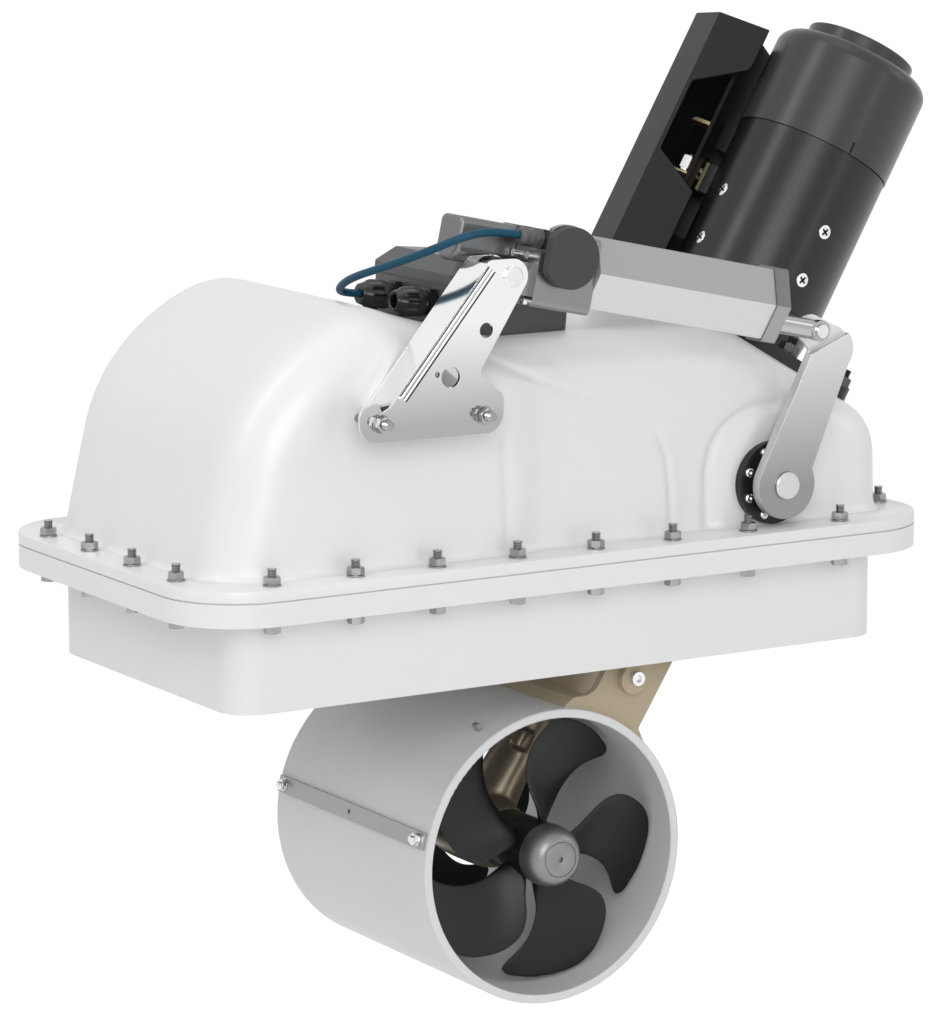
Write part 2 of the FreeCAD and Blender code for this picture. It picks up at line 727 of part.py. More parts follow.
# Blade edge seen from the front: (along the blade, across it)
BLADE_EDGE = [
    (22, 6), (34, 8.5), (48, 17.5), (62, 26.5), (75, 31.5), (86, 32.3), (95, 31), (103, 28), (110, 22.5),
    (116, 14), (120, 4), (121, -6), (118.5, -20), (113, -33), (106, -43.5), (102.5, -46), (100.5, -42),
    (97, -26), (89, -14), (79, -8), (64, -4.5), (48, -4.6), (34, -6.8), (22, -7),
]


def blade():
    """One skewed blade along +X, its outline cut from a twisted tapering slab."""
    sections = []
    for x, low, high, thick in ((20, -14, 16, 7.5), (50, -16, 36, 5.5), (86, -40, 44, 3.6), (124, -60, 44, 2.4)):
        slope = PITCH / (2 * math.pi * x)
        rise = thick / 2 * math.hypot(1, slope)
        corners = [V(x, -low * slope - rise, low), V(x, -high * slope - rise, high)]
        corners += [V(x, -high * slope + rise, high), V(x, -low * slope + rise, low)]
        sections.append(Part.makePolygon(corners + corners[:1]))
    slab = Part.makeLoft(sections, True, False)
    curve = Part.BSplineCurve()
    points = [V(x, -60, z) for x, z in BLADE_EDGE]
    curve.interpolate(points)
    root = Part.LineSegment(points[-1], points[0]).toShape()
    outline = Part.Face(Part.Wire([curve.toShape(), root])).extrude(V(0, 120, 0))
    return slab.common(outline)


def propeller(side):
    """Five bladed propeller with its hub. The far one is the mirror hand."""
    shapes = [disc_y(0, 0, HUB_R - 1, side * 118, side * 50.5)]
    first = blade()
    if side > 0:
        first = first.mirror(V(0, 0, 0), V(0, 0, 1))
    for i in range(BLADES):
        one = first.copy()
        one.rotate(V(0, 0, 0), V(0, 1, 0), -(72.0 + 360.0 / BLADES * i))
        one.translate(V(0, -side * BLADE_Y, 0))
        shapes.append(one)
    result = union(shapes).cut(disc_y(0, 0, PROP_SHAFT_R, side * 119, side * 49))
    result.rotate(V(0, 0, 0), V(0, 1, 0), -LEG_TILT)
    result.translate(V(0, 0, -LEG_LENGTH))
    return on_leg(result)


def spinner(side):
    """Rounded spinner nut on the end of a propeller."""
    z = -LEG_LENGTH
    base, nose = -118.0, -144.0
    curve = Part.BSplineCurve()
    curve.interpolate([V(0, base, z + HUB_R), V(0, -128, z + HUB_R), V(0, -138, z + 23.5), V(0, nose + 1, z + 16.5)])
    face_ring = [V(0, nose + 1, z + 16.5), V(0, nose, z + 15.5), V(0, nose, z + 2.2), V(0, nose + 3, z + 2.2)]
    face_ring += [V(0, nose + 3, z), V(0, base, z), V(0, base, z + HUB_R)]
    edges = [curve.toShape()]
    for a, b in zip(face_ring[:-1], face_ring[1:]):
        edges.append(Part.LineSegment(a, b).toShape())
    body = Part.Face(Part.Wire(edges)).revolve(V(0, 0, z), V(0, 1, 0), 360)
    if side > 0:
        body = body.mirror(V(0, 0, 0), V(0, 1, 0))
    return on_leg(body)


# Motor group, built with the motor axis upright and the pivot at its origin

def motor_stud_places():
    """Studs of the motor plate, as (across, along Y)."""
    return [(-68, -100), (0, -100), (68, -100), (-68, 100), (0, 100), (68, 100)]


def motor_flange():
    """Black plate on the motor seat with the round adapter on top."""
    plate = rounded_prism(160, 220, 14, SEAT, SEAT + PLATE)
    adapter = Part.makeCone(66, 72, CAN_BOTTOM - SEAT - PLATE, V(0, 0, SEAT + PLATE))
    cuts = [cylinder(30, (0, 0, SEAT - 1), (0, 0, CAN_BOTTOM + 1))]
    cuts += [cylinder(5, (u, v, SEAT - 1), (u, v, SEAT + PLATE + 1)) for u, v in motor_stud_places()]
    return on_motor(union([plate, adapter]).cut(cuts))


def motor_studs():
    """Studs through the seat and the plate, with their nuts and washers."""
    studs = []
    top = SEAT + PLATE
    for u, v in motor_stud_places():
        stud = cylinder(5, (u, v, SEAT - DOME_WALL), (u, v, top + 17))
        washer = cylinder(10, (u, v, top), (u, v, top + 2))
        nut = hexagon(16, (u, v, top + 2), (u, v, top + 10))
        studs.append(on_motor(union([stud, washer, nut])))
    return studs


def motor_body():
    """Lower can of the motor with the pads of the contactor plate and the bus bars."""
    can = cylinder(MOTOR_R, (0, 0, CAN_BOTTOM), (0, 0, CAP_JOINT))
    pads = [box(-PLATE_BACK, -60, -20, 20, a, a + 25) for a in (165, 280)]
    for y in (-TERMINAL_SIDE, TERMINAL_SIDE):
        pads.append(box(-BAR_BACK, -60, y - BAR_HALF, y + BAR_HALF, 236, 264))
    for pad in pads:
        pad.rotate(V(0, 0, 0), V(0, 0, 1), -SIDE_TURN)
    cuts = [cylinder(SHAFT_R + SHAFT_GAP, (0, 0, CAN_BOTTOM - 1), (0, 0, 201))]
    cuts.append(cylinder(30, (0, 0, CAN_BOTTOM - 1), (0, 0, CAN_BOTTOM + 12)))
    for e, y, a in motor_screw_places():
        cuts.append(cylinder(SCREW_R, (e * 0.985, y * 0.985, a), (e * 1.1, y * 1.1, a)))
    body = union([can] + pads).cut(cuts)
    return on_motor(body)


SCREW_R = 6.3


def motor_screw_places():
    """Countersunk screws round the can, as (across, along Y, height)."""
    places = []
    for a in (190, 239):
        for turn in (-90, -180, 90, 0):
            angle = math.radians(turn)
            places.append((MOTOR_R * math.cos(angle), MOTOR_R * math.sin(angle), a))
    return places


def motor_screws():
    """Cross slot screws in the can."""
    screws = []
    for e, y, a in motor_screw_places():
        head = cylinder(SCREW_R, (e * 0.985, y * 0.985, a), (e * 1.006, y * 1.006, a))
        turn = math.degrees(math.atan2(y, e))
        cross = [box(MOTOR_R - 0.7, MOTOR_R + 2, -4, 4, -0.75, 0.75)]
        cross.append(box(MOTOR_R - 0.7, MOTOR_R + 2, -0.75, 0.75, -4, 4))
        for bar in cross:
            bar.rotate(V(0, 0, 0), V(1, 0, 0), 20)
            bar.translate(V(0, 0, a))
            bar.rotate(V(0, 0, 0), V(0, 0, 1), turn)
        screws.append(on_motor(head.cut(cross)))
    return screws


def motor_cap():
    """Upper can with a fine groove at its joint, a rounded shoulder and a low disc on top."""
    can = cylinder(MOTOR_R + 1, (0, 0, CAP_JOINT + 0.8), (0, 0, CAP_SHOULDER))
    can = can.makeFillet(15, [e for e in can.Edges if len(e.Vertexes) == 1 and e.Vertexes[0].Z > CAP_SHOULDER - 1])
    disc = cylinder(52, (0, 0, CAP_SHOULDER - 2), (0, 0, DISC_TOP))
    disc = disc.makeFillet(2, [e for e in disc.Edges if len(e.Vertexes) == 1 and e.Vertexes[0].Z > DISC_TOP - 1])
    cuts = []
    for turn in (-100, 80):
        notch = box(MOTOR_R - 1.5, MOTOR_R + 5, -1.6, 1.6, CAP_JOINT - 1, CAP_JOINT + 12)
        notch.rotate(V(0, 0, 0), V(0, 0, 1), turn)
        cuts.append(notch)
    spigot = cylinder(MOTOR_R - 2, (0, 0, CAP_JOINT), (0, 0, CAP_JOINT + 2))
    return on_motor(union([can, disc, spigot]).cut(cuts))


# Side cover and contactor
SIDE_TURN = 54.0
PLATE_BACK = 82.0
PLATE_FRONT = 86.0
SHEET = 3.0
COVER_RIM = 70.0
COVER_BACK = 156.0
COVER_HALF = 55.0
COVER_FOLD = 176.5
COVER_BOTTOM_A = 140.0
COVER_TOP_A = 395.0
CONTACTOR_TOP_A = 246.0
BAR_BACK = 77.0
BAR_HALF = 7.0
TERMINAL_FROM_AXIS = 99.3
TERMINAL_SIDE = 20.0
TERMINAL_R = 4.0
TERMINAL_ROOT_R = 3.5
NUT_TOP_A = 257.5


def on_side(shape):
    """Place a shape built with the motor upright and its side cover towards -X."""
    turned = shape.copy()
    turned.rotate(V(0, 0, 0), V(0, 0, 1), -SIDE_TURN)
    return on_motor(turned)


def cover_section(inset):
    """Outline across the side cover, open towards the motor, as (across, along Y)."""
    half = COVER_HALF - inset
    back = COVER_BACK - inset
    fold = COVER_FOLD - inset * math.sqrt(2)
    rim = COVER_RIM if inset == 0 else COVER_RIM - 20
    near = [(-rim, -half), (half - fold, -half), (-back, back - fold)]
    return near + [(x, -y) for x, y in reversed(near)]


def motor_side_cover():
    """Folded sheet over the contactor, with its open notch in the front wall."""
    sheet = prism_z(cover_section(0), COVER_BOTTOM_A, COVER_TOP_A)
    sheet = sheet.cut(prism_z(cover_section(SHEET), COVER_BOTTOM_A - 1, COVER_TOP_A + 1))
    notch = [(-50, 365.4, 0), (-117.5, 325.3, 5), (-117.5, 254.8, 5), (-50, 215.8, 0)]
    window = Part.Face(rounded_outline(notch)).extrude(V(0, 12, 0))
    window.translate(V(0, -COVER_HALF - 5, 0))
    sheet = sheet.cut(window)
    tips = []
    for e in sheet.Edges:
        p = e.Vertexes[0].Point
        if e.Length < SHEET + 0.01 and p.x > -COVER_RIM - 0.01 and p.y < 0 and 340 < p.z < 365:
            if abs(e.tangentAt(e.FirstParameter).y) > 0.99:
                tips.append(e)
    return on_side(sheet.makeFillet(8, tips))


def cover_spacers():
    """Brass hexagon spacers from the contactor plate to the side cover."""
    spacers = []
    room = prism_z(cover_section(SHEET), COVER_BOTTOM_A, COVER_TOP_A)
    for y, middle in ((-40, 205), (40, 311)):
        for a in (155, middle, 380):
            bar = hexagon(8, (-PLATE_FRONT, y, a), (-COVER_BACK, y, a), 30)
            spacers.append(on_side(bar.common(room)))
    return spacers


def contactor_plate():
    """Flat plate on the motor pads that carries contactor and cover, open for the bars."""
    plate = box(-PLATE_FRONT, -PLATE_BACK, -48, 48, 146, 388)
    plate = plate.makeFillet(6, [e for e in plate.Edges if abs(e.tangentAt(0).x) > 0.99])
    window = box(-PLATE_FRONT - 1, -PLATE_BACK + 1, -31, 31, 232, 268)
    return on_side(plate.cut(window))


def contactor():
    """Contactor block with raised ribs between its terminals."""
    block = box(-128, -PLATE_FRONT, -32, 32, 180, CONTACTOR_TOP_A)
    foot = box(-PLATE_FRONT - 6, -PLATE_FRONT, -34, 34, 174, 230)
    ribs = [box(-128, -PLATE_FRONT - 2, y - 2, y + 2, 244, 256) for y in (-9, 9)]
    pins = [terminal_root(y, 236) for y in (-TERMINAL_SIDE, TERMINAL_SIDE)]
    return on_side(union([block, foot] + ribs).cut(pins))


def terminal_root(y, low):
    """Thin part of a terminal pin, below its thread."""
    x = -TERMINAL_FROM_AXIS
    return cylinder(TERMINAL_ROOT_R, (x, y, low), (x, y, NUT_TOP_A + 0.5))


def bus_bars():
    """Brass bars from the contactor's terminals to the motor's pads."""
    bars = []
    for y in (-TERMINAL_SIDE, TERMINAL_SIDE):
        low = CONTACTOR_TOP_A
        flat = box(-110, -BAR_BACK, y - BAR_HALF, y + BAR_HALF, low, low + 3)
        upright = box(-BAR_BACK - 3, -BAR_BACK, y - BAR_HALF, y + BAR_HALF, 236, 264)
        bars.append(on_side(union([flat, upright]).cut(terminal_root(y, 236))))
    return bars


def power_terminals():
    """Threaded terminal pins for the battery cables, thinner where the nut clamps."""
    pins = []
    x = -TERMINAL_FROM_AXIS
    for y in (-TERMINAL_SIDE, TERMINAL_SIDE):
        thread = cylinder(TERMINAL_R, (x, y, NUT_TOP_A), (x, y, NUT_TOP_A + 14.5))
        pins.append(on_side(terminal_root(y, 236).fuse(thread)))
    return pins


def terminal_nuts():
    """Nuts that clamp the bus bars."""
    nuts = []
    x = -TERMINAL_FROM_AXIS
    for y in (-TERMINAL_SIDE, TERMINAL_SIDE):
        washer_top = CONTACTOR_TOP_A + 5
        nut = hexagon(13, (x, y, washer_top), (x, y, NUT_TOP_A))
        washer = cylinder(7.5, (x, y, washer_top - 2), (x, y, washer_top))
        nuts.append(on_side(union([nut, washer]).cut(terminal_root(y, 236))))
    return nuts


def shaft_seal_housing():
    """Sealed bearing of the motor shaft in the seat, hidden under the motor."""
    wall = SEAT - DOME_WALL
    sleeve = cylinder(25, (0, 0, wall - 16), (0, 0, SEAT))
    flange = cylinder(36, (0, 0, wall - 7), (0, 0, wall))
    bore = cylinder(SHAFT_R + SHAFT_GAP, (0, 0, wall - 20), (0, 0, SEAT + 1))
    return on_motor(union([sleeve, flange]).cut(bore))


# Actuator bracket

BRACKET_FRONT = -203.0
BRACKET_BACK = -166.0
BRACKET_SHEET = 3.0
WEB_TOP = (-105.0, 373.5)
WEB_LOW = (-198.6, 262.5)


def bracket_studs():
    """Stud positions of the bracket."""
    return [(-213, 243.5), (-113, 243)]


def actuator_bracket():
    """Channel shaped steel bracket: wall plate, front plate and one folded side."""
    top_x, top_z = WEB_TOP
    low_x, low_z = WEB_LOW
    slope = (top_z - low_z) / (top_x - low_x)
    upper = [(top_x, top_z, 3), (-56.6, 373, 15), (-117, 278.5, 5), (-92.5, 258.5, 10)]
    front = upper + [
        (-93.5, 227, 17), (-233, 228, 16), (-233, 256, 10),
        (-216, 262, 3), (-211, 252, 1), (-204, 256, 1), (low_x, low_z, 0),
    ]
    back = upper + [(-95, 229, 12), (-192, 229, 12), (-213, top_z - (top_x + 213) * slope, 6)]
    plates = []
    for outline, y in ((front, BRACKET_FRONT), (back, BRACKET_BACK - BRACKET_SHEET)):
        plate = Part.Face(rounded_outline(outline)).extrude(V(0, BRACKET_SHEET, 0))
        plate.translate(V(0, y, 0))
        plates.append(plate)
    face = BRACKET_FRONT
    turn = 180 - math.degrees(math.atan(slope))
    sheet = [(4, BRACKET_BACK), (4, face), (144, face), (91, BRACKET_BACK)]
    web = moved(prism_z(sheet, 0, BRACKET_SHEET), top_x, 0, top_z, turn)
    bead = prism_x([(face + 1, 0.5), (face - 2, 2), (face - 2, 7), (face + 1, 8.5)], 6, 142)
    bead = moved(bead, top_x, 0, top_z, turn)
    cuts = [disc_y(-110, 314.5, 6.5, -210, -190), disc_y(-145, 277.5, 9, -210, -190)]
    cuts += [disc_y(-158, 280.5, 2.5, -210, -190), disc_y(BRACKET_PIN_X, BRACKET_PIN_Z, PIN_R, -210, -160)]
    cuts += [disc_y(x, z, BOLT_R, -210, -160) for x, z in bracket_studs()]
    return union(plates + [web, bead]).cut(cuts)


def bracket_pin():
    """Clevis pin of the actuator."""
    pin = disc_y(BRACKET_PIN_X, BRACKET_PIN_Z, PIN_R, BRACKET_FRONT - 3, BRACKET_BACK + 3)
    return pin.makeChamfer(0.8, [e for e in pin.Edges if len(e.Vertexes) == 1])


def bracket_stud_set():
    """Studs with washer and nut on the front plate."""
    studs = []
    face = BRACKET_FRONT
    for x, z in bracket_studs():
        stud = disc_y(x, z, BOLT_R, face - 16, BRACKET_BACK + DOME_WALL)
        washer = disc_y(x, z, WASHER_R, face - WASHER, face)
        nut = hexagon(NUT_FLATS, (x, face - WASHER, z), (x, face - WASHER - NUT_HEIGHT, z))
        studs.append(union([stud, washer, nut]))
    return studs


# Control box and glands

BOX_TILT = 5.5
BOX_X = -88.0
BOX_Z = 303.5
BOX_LENGTH = 123.5
BOX_FRONT = -105.0
BOX_REAR = 30.0
BOX_HEIGHT = 36.0
GLAND_W = 18.8
CABLE_R = 3.5


def on_box(shape):
    """Place a shape built with the control box level."""
    return moved(shape, BOX_X, 0, BOX_Z, BOX_TILT)


def control_box():
    """Control box, bedded on the curved dome."""
    body = box(0, BOX_LENGTH, BOX_FRONT, BOX_REAR, -25, BOX_HEIGHT)
    body = body.makeFillet(8, [e for e in body.Edges if abs(e.tangentAt(e.FirstParameter).z) > 0.99])
    groove = box(-5, BOX_LENGTH + 5, BOX_FRONT - 5, BOX_REAR + 5, BOX_HEIGHT - 1.2, BOX_HEIGHT + 1)
    core = box(1, BOX_LENGTH - 1, BOX_FRONT + 1, BOX_REAR - 1, BOX_HEIGHT - 2, BOX_HEIGHT + 2)
    body = on_box(body.cut(groove.cut(core)))
    return body.cut([hump(0, 105), motor_end(0, 105)])


def control_box_lid():
    """Lid with bevelled sides and rounded corners."""
    low, high, inset = BOX_HEIGHT + 9, BOX_HEIGHT + 23, 13
    rim = box(0, BOX_LENGTH, BOX_FRONT, BOX_REAR, BOX_HEIGHT, low)
    sections = []
    for z, d in ((low, 0), (high, inset)):
        corners = [V(d, BOX_FRONT + d, z), V(BOX_LENGTH - d, BOX_FRONT + d, z)]
        corners += [V(BOX_LENGTH - d, BOX_REAR - d, z), V(d, BOX_REAR - d, z)]
        sections.append(Part.makePolygon(corners + corners[:1]))
    lid = union([rim, Part.makeLoft(sections, True, True)])
    lid = lid.makeFillet(4, [e for e in lid.Edges if abs(e.tangentAt(e.FirstParameter).z) > 0.5])
    return on_box(lid)


def gland(y, bore, depth):
    """Cable gland in the left face of the control box."""
    bodies = [
        hexagon(24, (0, y, GLAND_W), (-9, y, GLAND_W)),
        cylinder(10.5, (-8, y, GLAND_W), (-14, y, GLAND_W)),
        hexagon(24, (-13, y, GLAND_W), (-27, y, GLAND_W)),
    ]
    cap = Part.makeCone(12.2, 9.5, 12, V(-26.5, y, GLAND_W), V(-1, 0, 0))
    hole = cylinder(bore, (-39.5, y, GLAND_W), (-39.5 + depth, y, GLAND_W))
    return on_box(union(bodies + [cap]).cut(hole))


def cable_glands():
    """One gland in use and one open."""
    return [gland(-16, CABLE_R + SHAFT_GAP, 8), gland(-75, 6.0, 30)]


def box_point(u, w):
    """Point of the control box frame in the gland plane of the cable."""
    turn = math.radians(BOX_TILT)
    return (BOX_X + u * math.cos(turn) + w * math.sin(turn), -16.0, BOX_Z - u * math.sin(turn) + w * math.cos(turn))


# Actuator, built with the line between its pins along +X

ACTUATOR_DX = PIVOT_X + LEVER_X - BRACKET_PIN_X
ACTUATOR_DZ = PIVOT_Z + LEVER_Z - BRACKET_PIN_Z
ACTUATOR_TILT = math.degrees(math.atan2(-ACTUATOR_DZ, ACTUATOR_DX))
ROD_LENGTH = math.hypot(ACTUATOR_DX, ACTUATOR_DZ)
TUBE_START = 81.0
TUBE_END = 268.0


def on_actuator(shape):
    """Place a shape built along the actuator."""
    return moved(shape, BRACKET_PIN_X, 0, BRACKET_PIN_Z, ACTUATOR_TILT)


def actuator_point(u, w, y):
    """Point of the actuator frame."""
    turn = math.radians(ACTUATOR_TILT)
    x = BRACKET_PIN_X + u * math.cos(turn) + w * math.sin(turn)
    return (x, y, BRACKET_PIN_Z - u * math.sin(turn) + w * math.cos(turn))


def actuator_gear_housing():
    """Cast gear housing with the lug of the bracket pin."""
    block = box(22, TUBE_START, -205, -135, -22, 44)
    block = block.makeFillet(6, [e for e in block.Edges if abs(e.tangentAt(e.FirstParameter).x) > 0.99])
    lug = union([disc_y(0, 0, 14, -199, -175), box(0, 24, -199, -175, -14, 14)])
    rim = disc_y(48, 24, 27.5, -205, -198).cut(box(0, 24.5, -230, -190, -20, 60))
    cuts = [box(20, 31, -210, -172, 25, 60), disc_y(0, 0, PIN_R + SHAFT_GAP, -210, -160)]
    return on_actuator(union([block, lug, rim]).cut(cuts))


def actuator_side_cap():
    """Round side cap with one flat."""
    cap = disc_y(48, 24, 26.5, -216, -205).cut(box(0, 26, -230, -190, -20, 60))
    return on_actuator(cap)


def actuator_motor_tube():
    """Motor of the actuator, beside the tube."""
    tube = box(-36, 22, -165, -130, 4, 43)
    long_edges = [e for e in tube.Edges if abs(e.tangentAt(0).x) > 0.99]
    tube = tube.makeFillet(14, [e for e in long_edges if e.Vertexes[0].Z < 10])
    upper = [e for e in tube.Edges if abs(e.tangentAt(e.FirstParameter).x) > 0.99 and e.Vertexes[0].Z > 42]
    tube = tube.makeFillet(6, upper)
    end = [e for e in tube.Edges if max(v.X for v in e.Vertexes) < -35.9]
    return on_actuator(tube.makeFillet(4, end))


def hex_section(grow):
    """Cross section of the actuator tube, as (along Y, up)."""
    middle_y, middle_z = ACTUATOR_Y, 15.0
    outline = [(-212, 15), (-198, 46), (-176, 46), (-162, 15), (-176, -16), (-198, -16)]
    size = 1 + grow / 28
    return [(middle_y + (y - middle_y) * size, middle_z + (z - middle_z) * size) for y, z in outline]


def actuator_tube():
    """Six sided aluminium tube."""
    tube = prism_x(hex_section(0), TUBE_START, TUBE_END)
    tube = tube.makeFillet(2, [e for e in tube.Edges if abs(e.tangentAt(e.FirstParameter).x) > 0.99])
    bore = cylinder(13, (TUBE_START - 1, ACTUATOR_Y, 0), (TUBE_END + 1, ACTUATOR_Y, 0))
    return on_actuator(tube.cut(bore))


def actuator_end_cap():
    """End cap with the rod's guide."""
    cap = prism_x(hex_section(2), TUBE_END, TUBE_END + 15)
    cap = cap.makeFillet(2.5, [e for e in cap.Edges if abs(e.tangentAt(e.FirstParameter).x) > 0.99])
    bore = cylinder(ROD_R + SHAFT_GAP, (TUBE_END - 1, ACTUATOR_Y, 0), (TUBE_END + 16, ACTUATOR_Y, 0))
    return on_actuator(cap.cut(bore))


def actuator_screws():
    """Socket screws in the rear face of the gear housing."""
    screws = []
    for y, z in ((-150, -14), (-192, 20), (-197, -18.3), (-169.5, 20)):
        head = cylinder(3.2, (22, y, z), (17, y, z))
        screws.append(on_actuator(head.cut(hexagon(3, (16, y, z), (19, y, z)))))
    return screws


def cable_relief():
    """Strain relief of the cable on the gear housing."""
    body = cylinder(7.5, (31, -185, 35.5), (10, -185, 35.5))
    collar = hexagon(17, (31, -185, 35.5), (24, -185, 35.5))
    return on_actuator(union([body, collar]))


def actuator_rod():
    """Rod with a flattened eye in front of the lever."""
    rod = cylinder(ROD_R, (125, ACTUATOR_Y, 0), (ROD_LENGTH, ACTUATOR_Y, 0))
    flat = box(ROD_LENGTH - 21, ROD_LENGTH + 12, ROD_EYE_BACK, -150, -20, 20)
    eye = disc_y(ROD_LENGTH, 0, 9.5, ACTUATOR_Y - 9.5, ROD_EYE_BACK)
    return on_actuator(union([rod.cut(flat), eye]).cut(disc_y(ROD_LENGTH, 0, 6, -210, -150)))


ROD_EYE_BACK = -186.3


def rod_end_pin():
    """Pin head in the rod's eye."""
    return on_actuator(disc_y(ROD_LENGTH, 0, 6, -199, ROD_EYE_BACK - 0.1))


# Signal cable

def cable_route():
    """Corner points of the cable's centre line, from the actuator to the gland."""
    return [
        actuator_point(10, 35.5, -185),
        actuator_point(-16, 35.5, -185),
        (-119.2, -179, 391.3),
        (-138.3, -152, 377.0),
        (-151.4, -106, 360.7),
        (-160.5, -62, 346.9),
        (-154.8, -31, 334.3),
        box_point(-55.5, GLAND_W),
        box_point(-31.5, GLAND_W),
    ]


def signal_cable():
    """Round cable: straight runs joined by tangent arcs."""
    points = [V(*p) for p in cable_route()]
    edges = []
    start = points[0]
    for before, corner, after in zip(points, points[1:], points[2:]):
        back = before - corner
        ahead = after - corner
        reach = 0.45 * min(back.Length, ahead.Length)
        half = back.getAngle(ahead) / 2
        r = reach * math.tan(half)
        back.normalize()
        ahead.normalize()
        middle = (back + ahead).normalize()
        centre = corner + middle * (r / math.sin(half))
        first, last = corner + back * reach, corner + ahead * reach
        edges.append(Part.LineSegment(start, first).toShape())
        edges.append(Part.Arc(first, centre - middle * r, last).toShape())
        start = last
        print("cable bend", round(180 - math.degrees(2 * half)), "degrees, radius", round(r, 1))
    edges.append(Part.LineSegment(start, points[-1]).toShape())
    path = Part.Wire(edges)
    circle = Part.Wire([Part.makeCircle(CABLE_R, points[0], points[1] - points[0])])
    tube = path.makePipeShell([circle], True, False)
    print("cable", round(tube.Volume / (math.pi * CABLE_R ** 2 * path.Length), 3), "of section by length", path.Length)
    print("cable corners", [tuple(round(c, 2) for c in p) for p in cable_route()])
    return tube


def tunnel_tab():
    """Small steel tab on the tunnel's upper flank."""
    x = PIVOT_X - LEG_LENGTH * math.sin(math.radians(LEG_TILT))
    z = PIVOT_Z - LEG_LENGTH * math.cos(math.radians(LEG_TILT))
    tab = box(-2, 2, -111, -103, TUNNEL_R - 2, TUNNEL_R + 7).cut(disc_y(0, 0, TUNNEL_R, -130, -90))
    return moved(tab, x, 0, z, 90 - 118)


NODES = {
    "housing_cover": housing_cover,
    "base_frame": base_frame,
    "flange_seal": flange_seal,
    "flange_bolts": flange_bolts,
    "flange_washers": flange_washers,
    "flange_nuts": flange_nuts,
    "front_pivot_flange": lambda: pivot_flange(-1),
    "rear_pivot_flange": lambda: pivot_flange(1),
    "pivot_screws": pivot_screws,
    "motor_flange": motor_flange,
    "motor_studs": motor_studs,
    "motor_body": motor_body,
    "motor_cap": motor_cap,
    "motor_screws": motor_screws,
    "motor_side_cover": motor_side_cover,
    "cover_spacers": cover_spacers,
    "contactor_plate": contactor_plate,
    "contactor": contactor,
    "bus_bars": bus_bars,
    "power_terminals": power_terminals,
    "terminal_nuts": terminal_nuts,
    "shaft_seal_housing": shaft_seal_housing,
    "actuator_bracket": actuator_bracket,
    "bracket_pin": bracket_pin,
    "bracket_studs": bracket_stud_set,
    "control_box": control_box,
    "control_box_lid": control_box_lid,
    "cable_glands": cable_glands,
    "signal_cable": signal_cable,
    "actuator_gear_housing": actuator_gear_housing,
    "actuator_side_cap": actuator_side_cap,
    "actuator_motor_tube": actuator_motor_tube,
    "actuator_tube": actuator_tube,
    "actuator_end_cap": actuator_end_cap,
    "actuator_screws": actuator_screws,
    "cable_relief": cable_relief,
    "actuator_rod": actuator_rod,
    "rod_end_pin": rod_end_pin,
    "lever": lever,
    "front_axle": front_axle,
    "rear_axle": rear_axle,
    "axle_collar": axle_collar,
    "swing_arms": swing_arms,
    "arm_bolts": arm_bolts,
    "cradle": cradle,
    "leg_column": leg_column,
    "tunnel": tunnel,
    "tunnel_strap": tunnel_strap,
    "strap_bolts": strap_bolts,
    "tunnel_tab": tunnel_tab,
    "gear_leg": gear_leg,
    "motor_shaft": motor_shaft,
    "joint_ball": joint_ball,
    "leg_shaft": leg_shaft,
    "prop_drive_front": lambda: prop_drive(-1),
    "prop_drive_rear": lambda: prop_drive(1),
    "propeller_front": lambda: propeller(-1),
    "propeller_rear": lambda: propeller(1),
    "spinner_front": lambda: spinner(-1),
    "spinner_rear": lambda: spinner(1),
}

for node, make in NODES.items():
    export(node, make())
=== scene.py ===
"""Retractable bow thruster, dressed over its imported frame."""
import logging
import math
from collections.abc import Callable, Iterable, Sequence
from dataclasses import dataclass
from enum import Enum
from functools import cache, cached_property

import bmesh
import bpy
from mathutils import Matrix, Vector


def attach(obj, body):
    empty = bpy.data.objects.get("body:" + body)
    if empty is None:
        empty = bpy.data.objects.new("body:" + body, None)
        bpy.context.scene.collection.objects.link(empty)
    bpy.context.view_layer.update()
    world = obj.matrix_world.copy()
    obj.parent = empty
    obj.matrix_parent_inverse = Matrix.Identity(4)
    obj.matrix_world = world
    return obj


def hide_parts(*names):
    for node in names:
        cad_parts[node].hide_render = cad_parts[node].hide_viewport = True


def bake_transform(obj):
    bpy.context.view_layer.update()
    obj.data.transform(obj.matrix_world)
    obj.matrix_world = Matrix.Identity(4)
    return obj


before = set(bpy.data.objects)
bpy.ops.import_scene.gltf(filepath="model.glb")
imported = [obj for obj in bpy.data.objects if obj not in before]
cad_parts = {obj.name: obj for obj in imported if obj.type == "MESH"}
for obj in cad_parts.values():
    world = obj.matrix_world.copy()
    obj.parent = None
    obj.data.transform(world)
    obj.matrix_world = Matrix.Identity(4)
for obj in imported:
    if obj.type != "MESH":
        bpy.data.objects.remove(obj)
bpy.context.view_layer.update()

logging.basicConfig(level=logging.INFO, format="%(message)s")
log = logging.getLogger("thruster")

MM = 0.001
BUMP_DEPTH = 0.0001
WHITE_LIGHT = (1.0, 1.0, 1.0, 1.0)
Point = tuple[float, float, float]
Colour = tuple[float, float, float]
Pair = tuple[float, float]
Station = Callable[[float], Pair]


class Body(Enum):
    """Bodies of the frame that pieces ride on."""

    HOUSING = "housing"
    LEG = "swing_leg"
    ACTUATOR = "actuator"
    ROD = "actuator_rod"
    FRONT_PROPELLER = "front_propeller"
    REAR_PROPELLER = "rear_propeller"


# Local frames of the sub-assemblies, the same as in the part's source


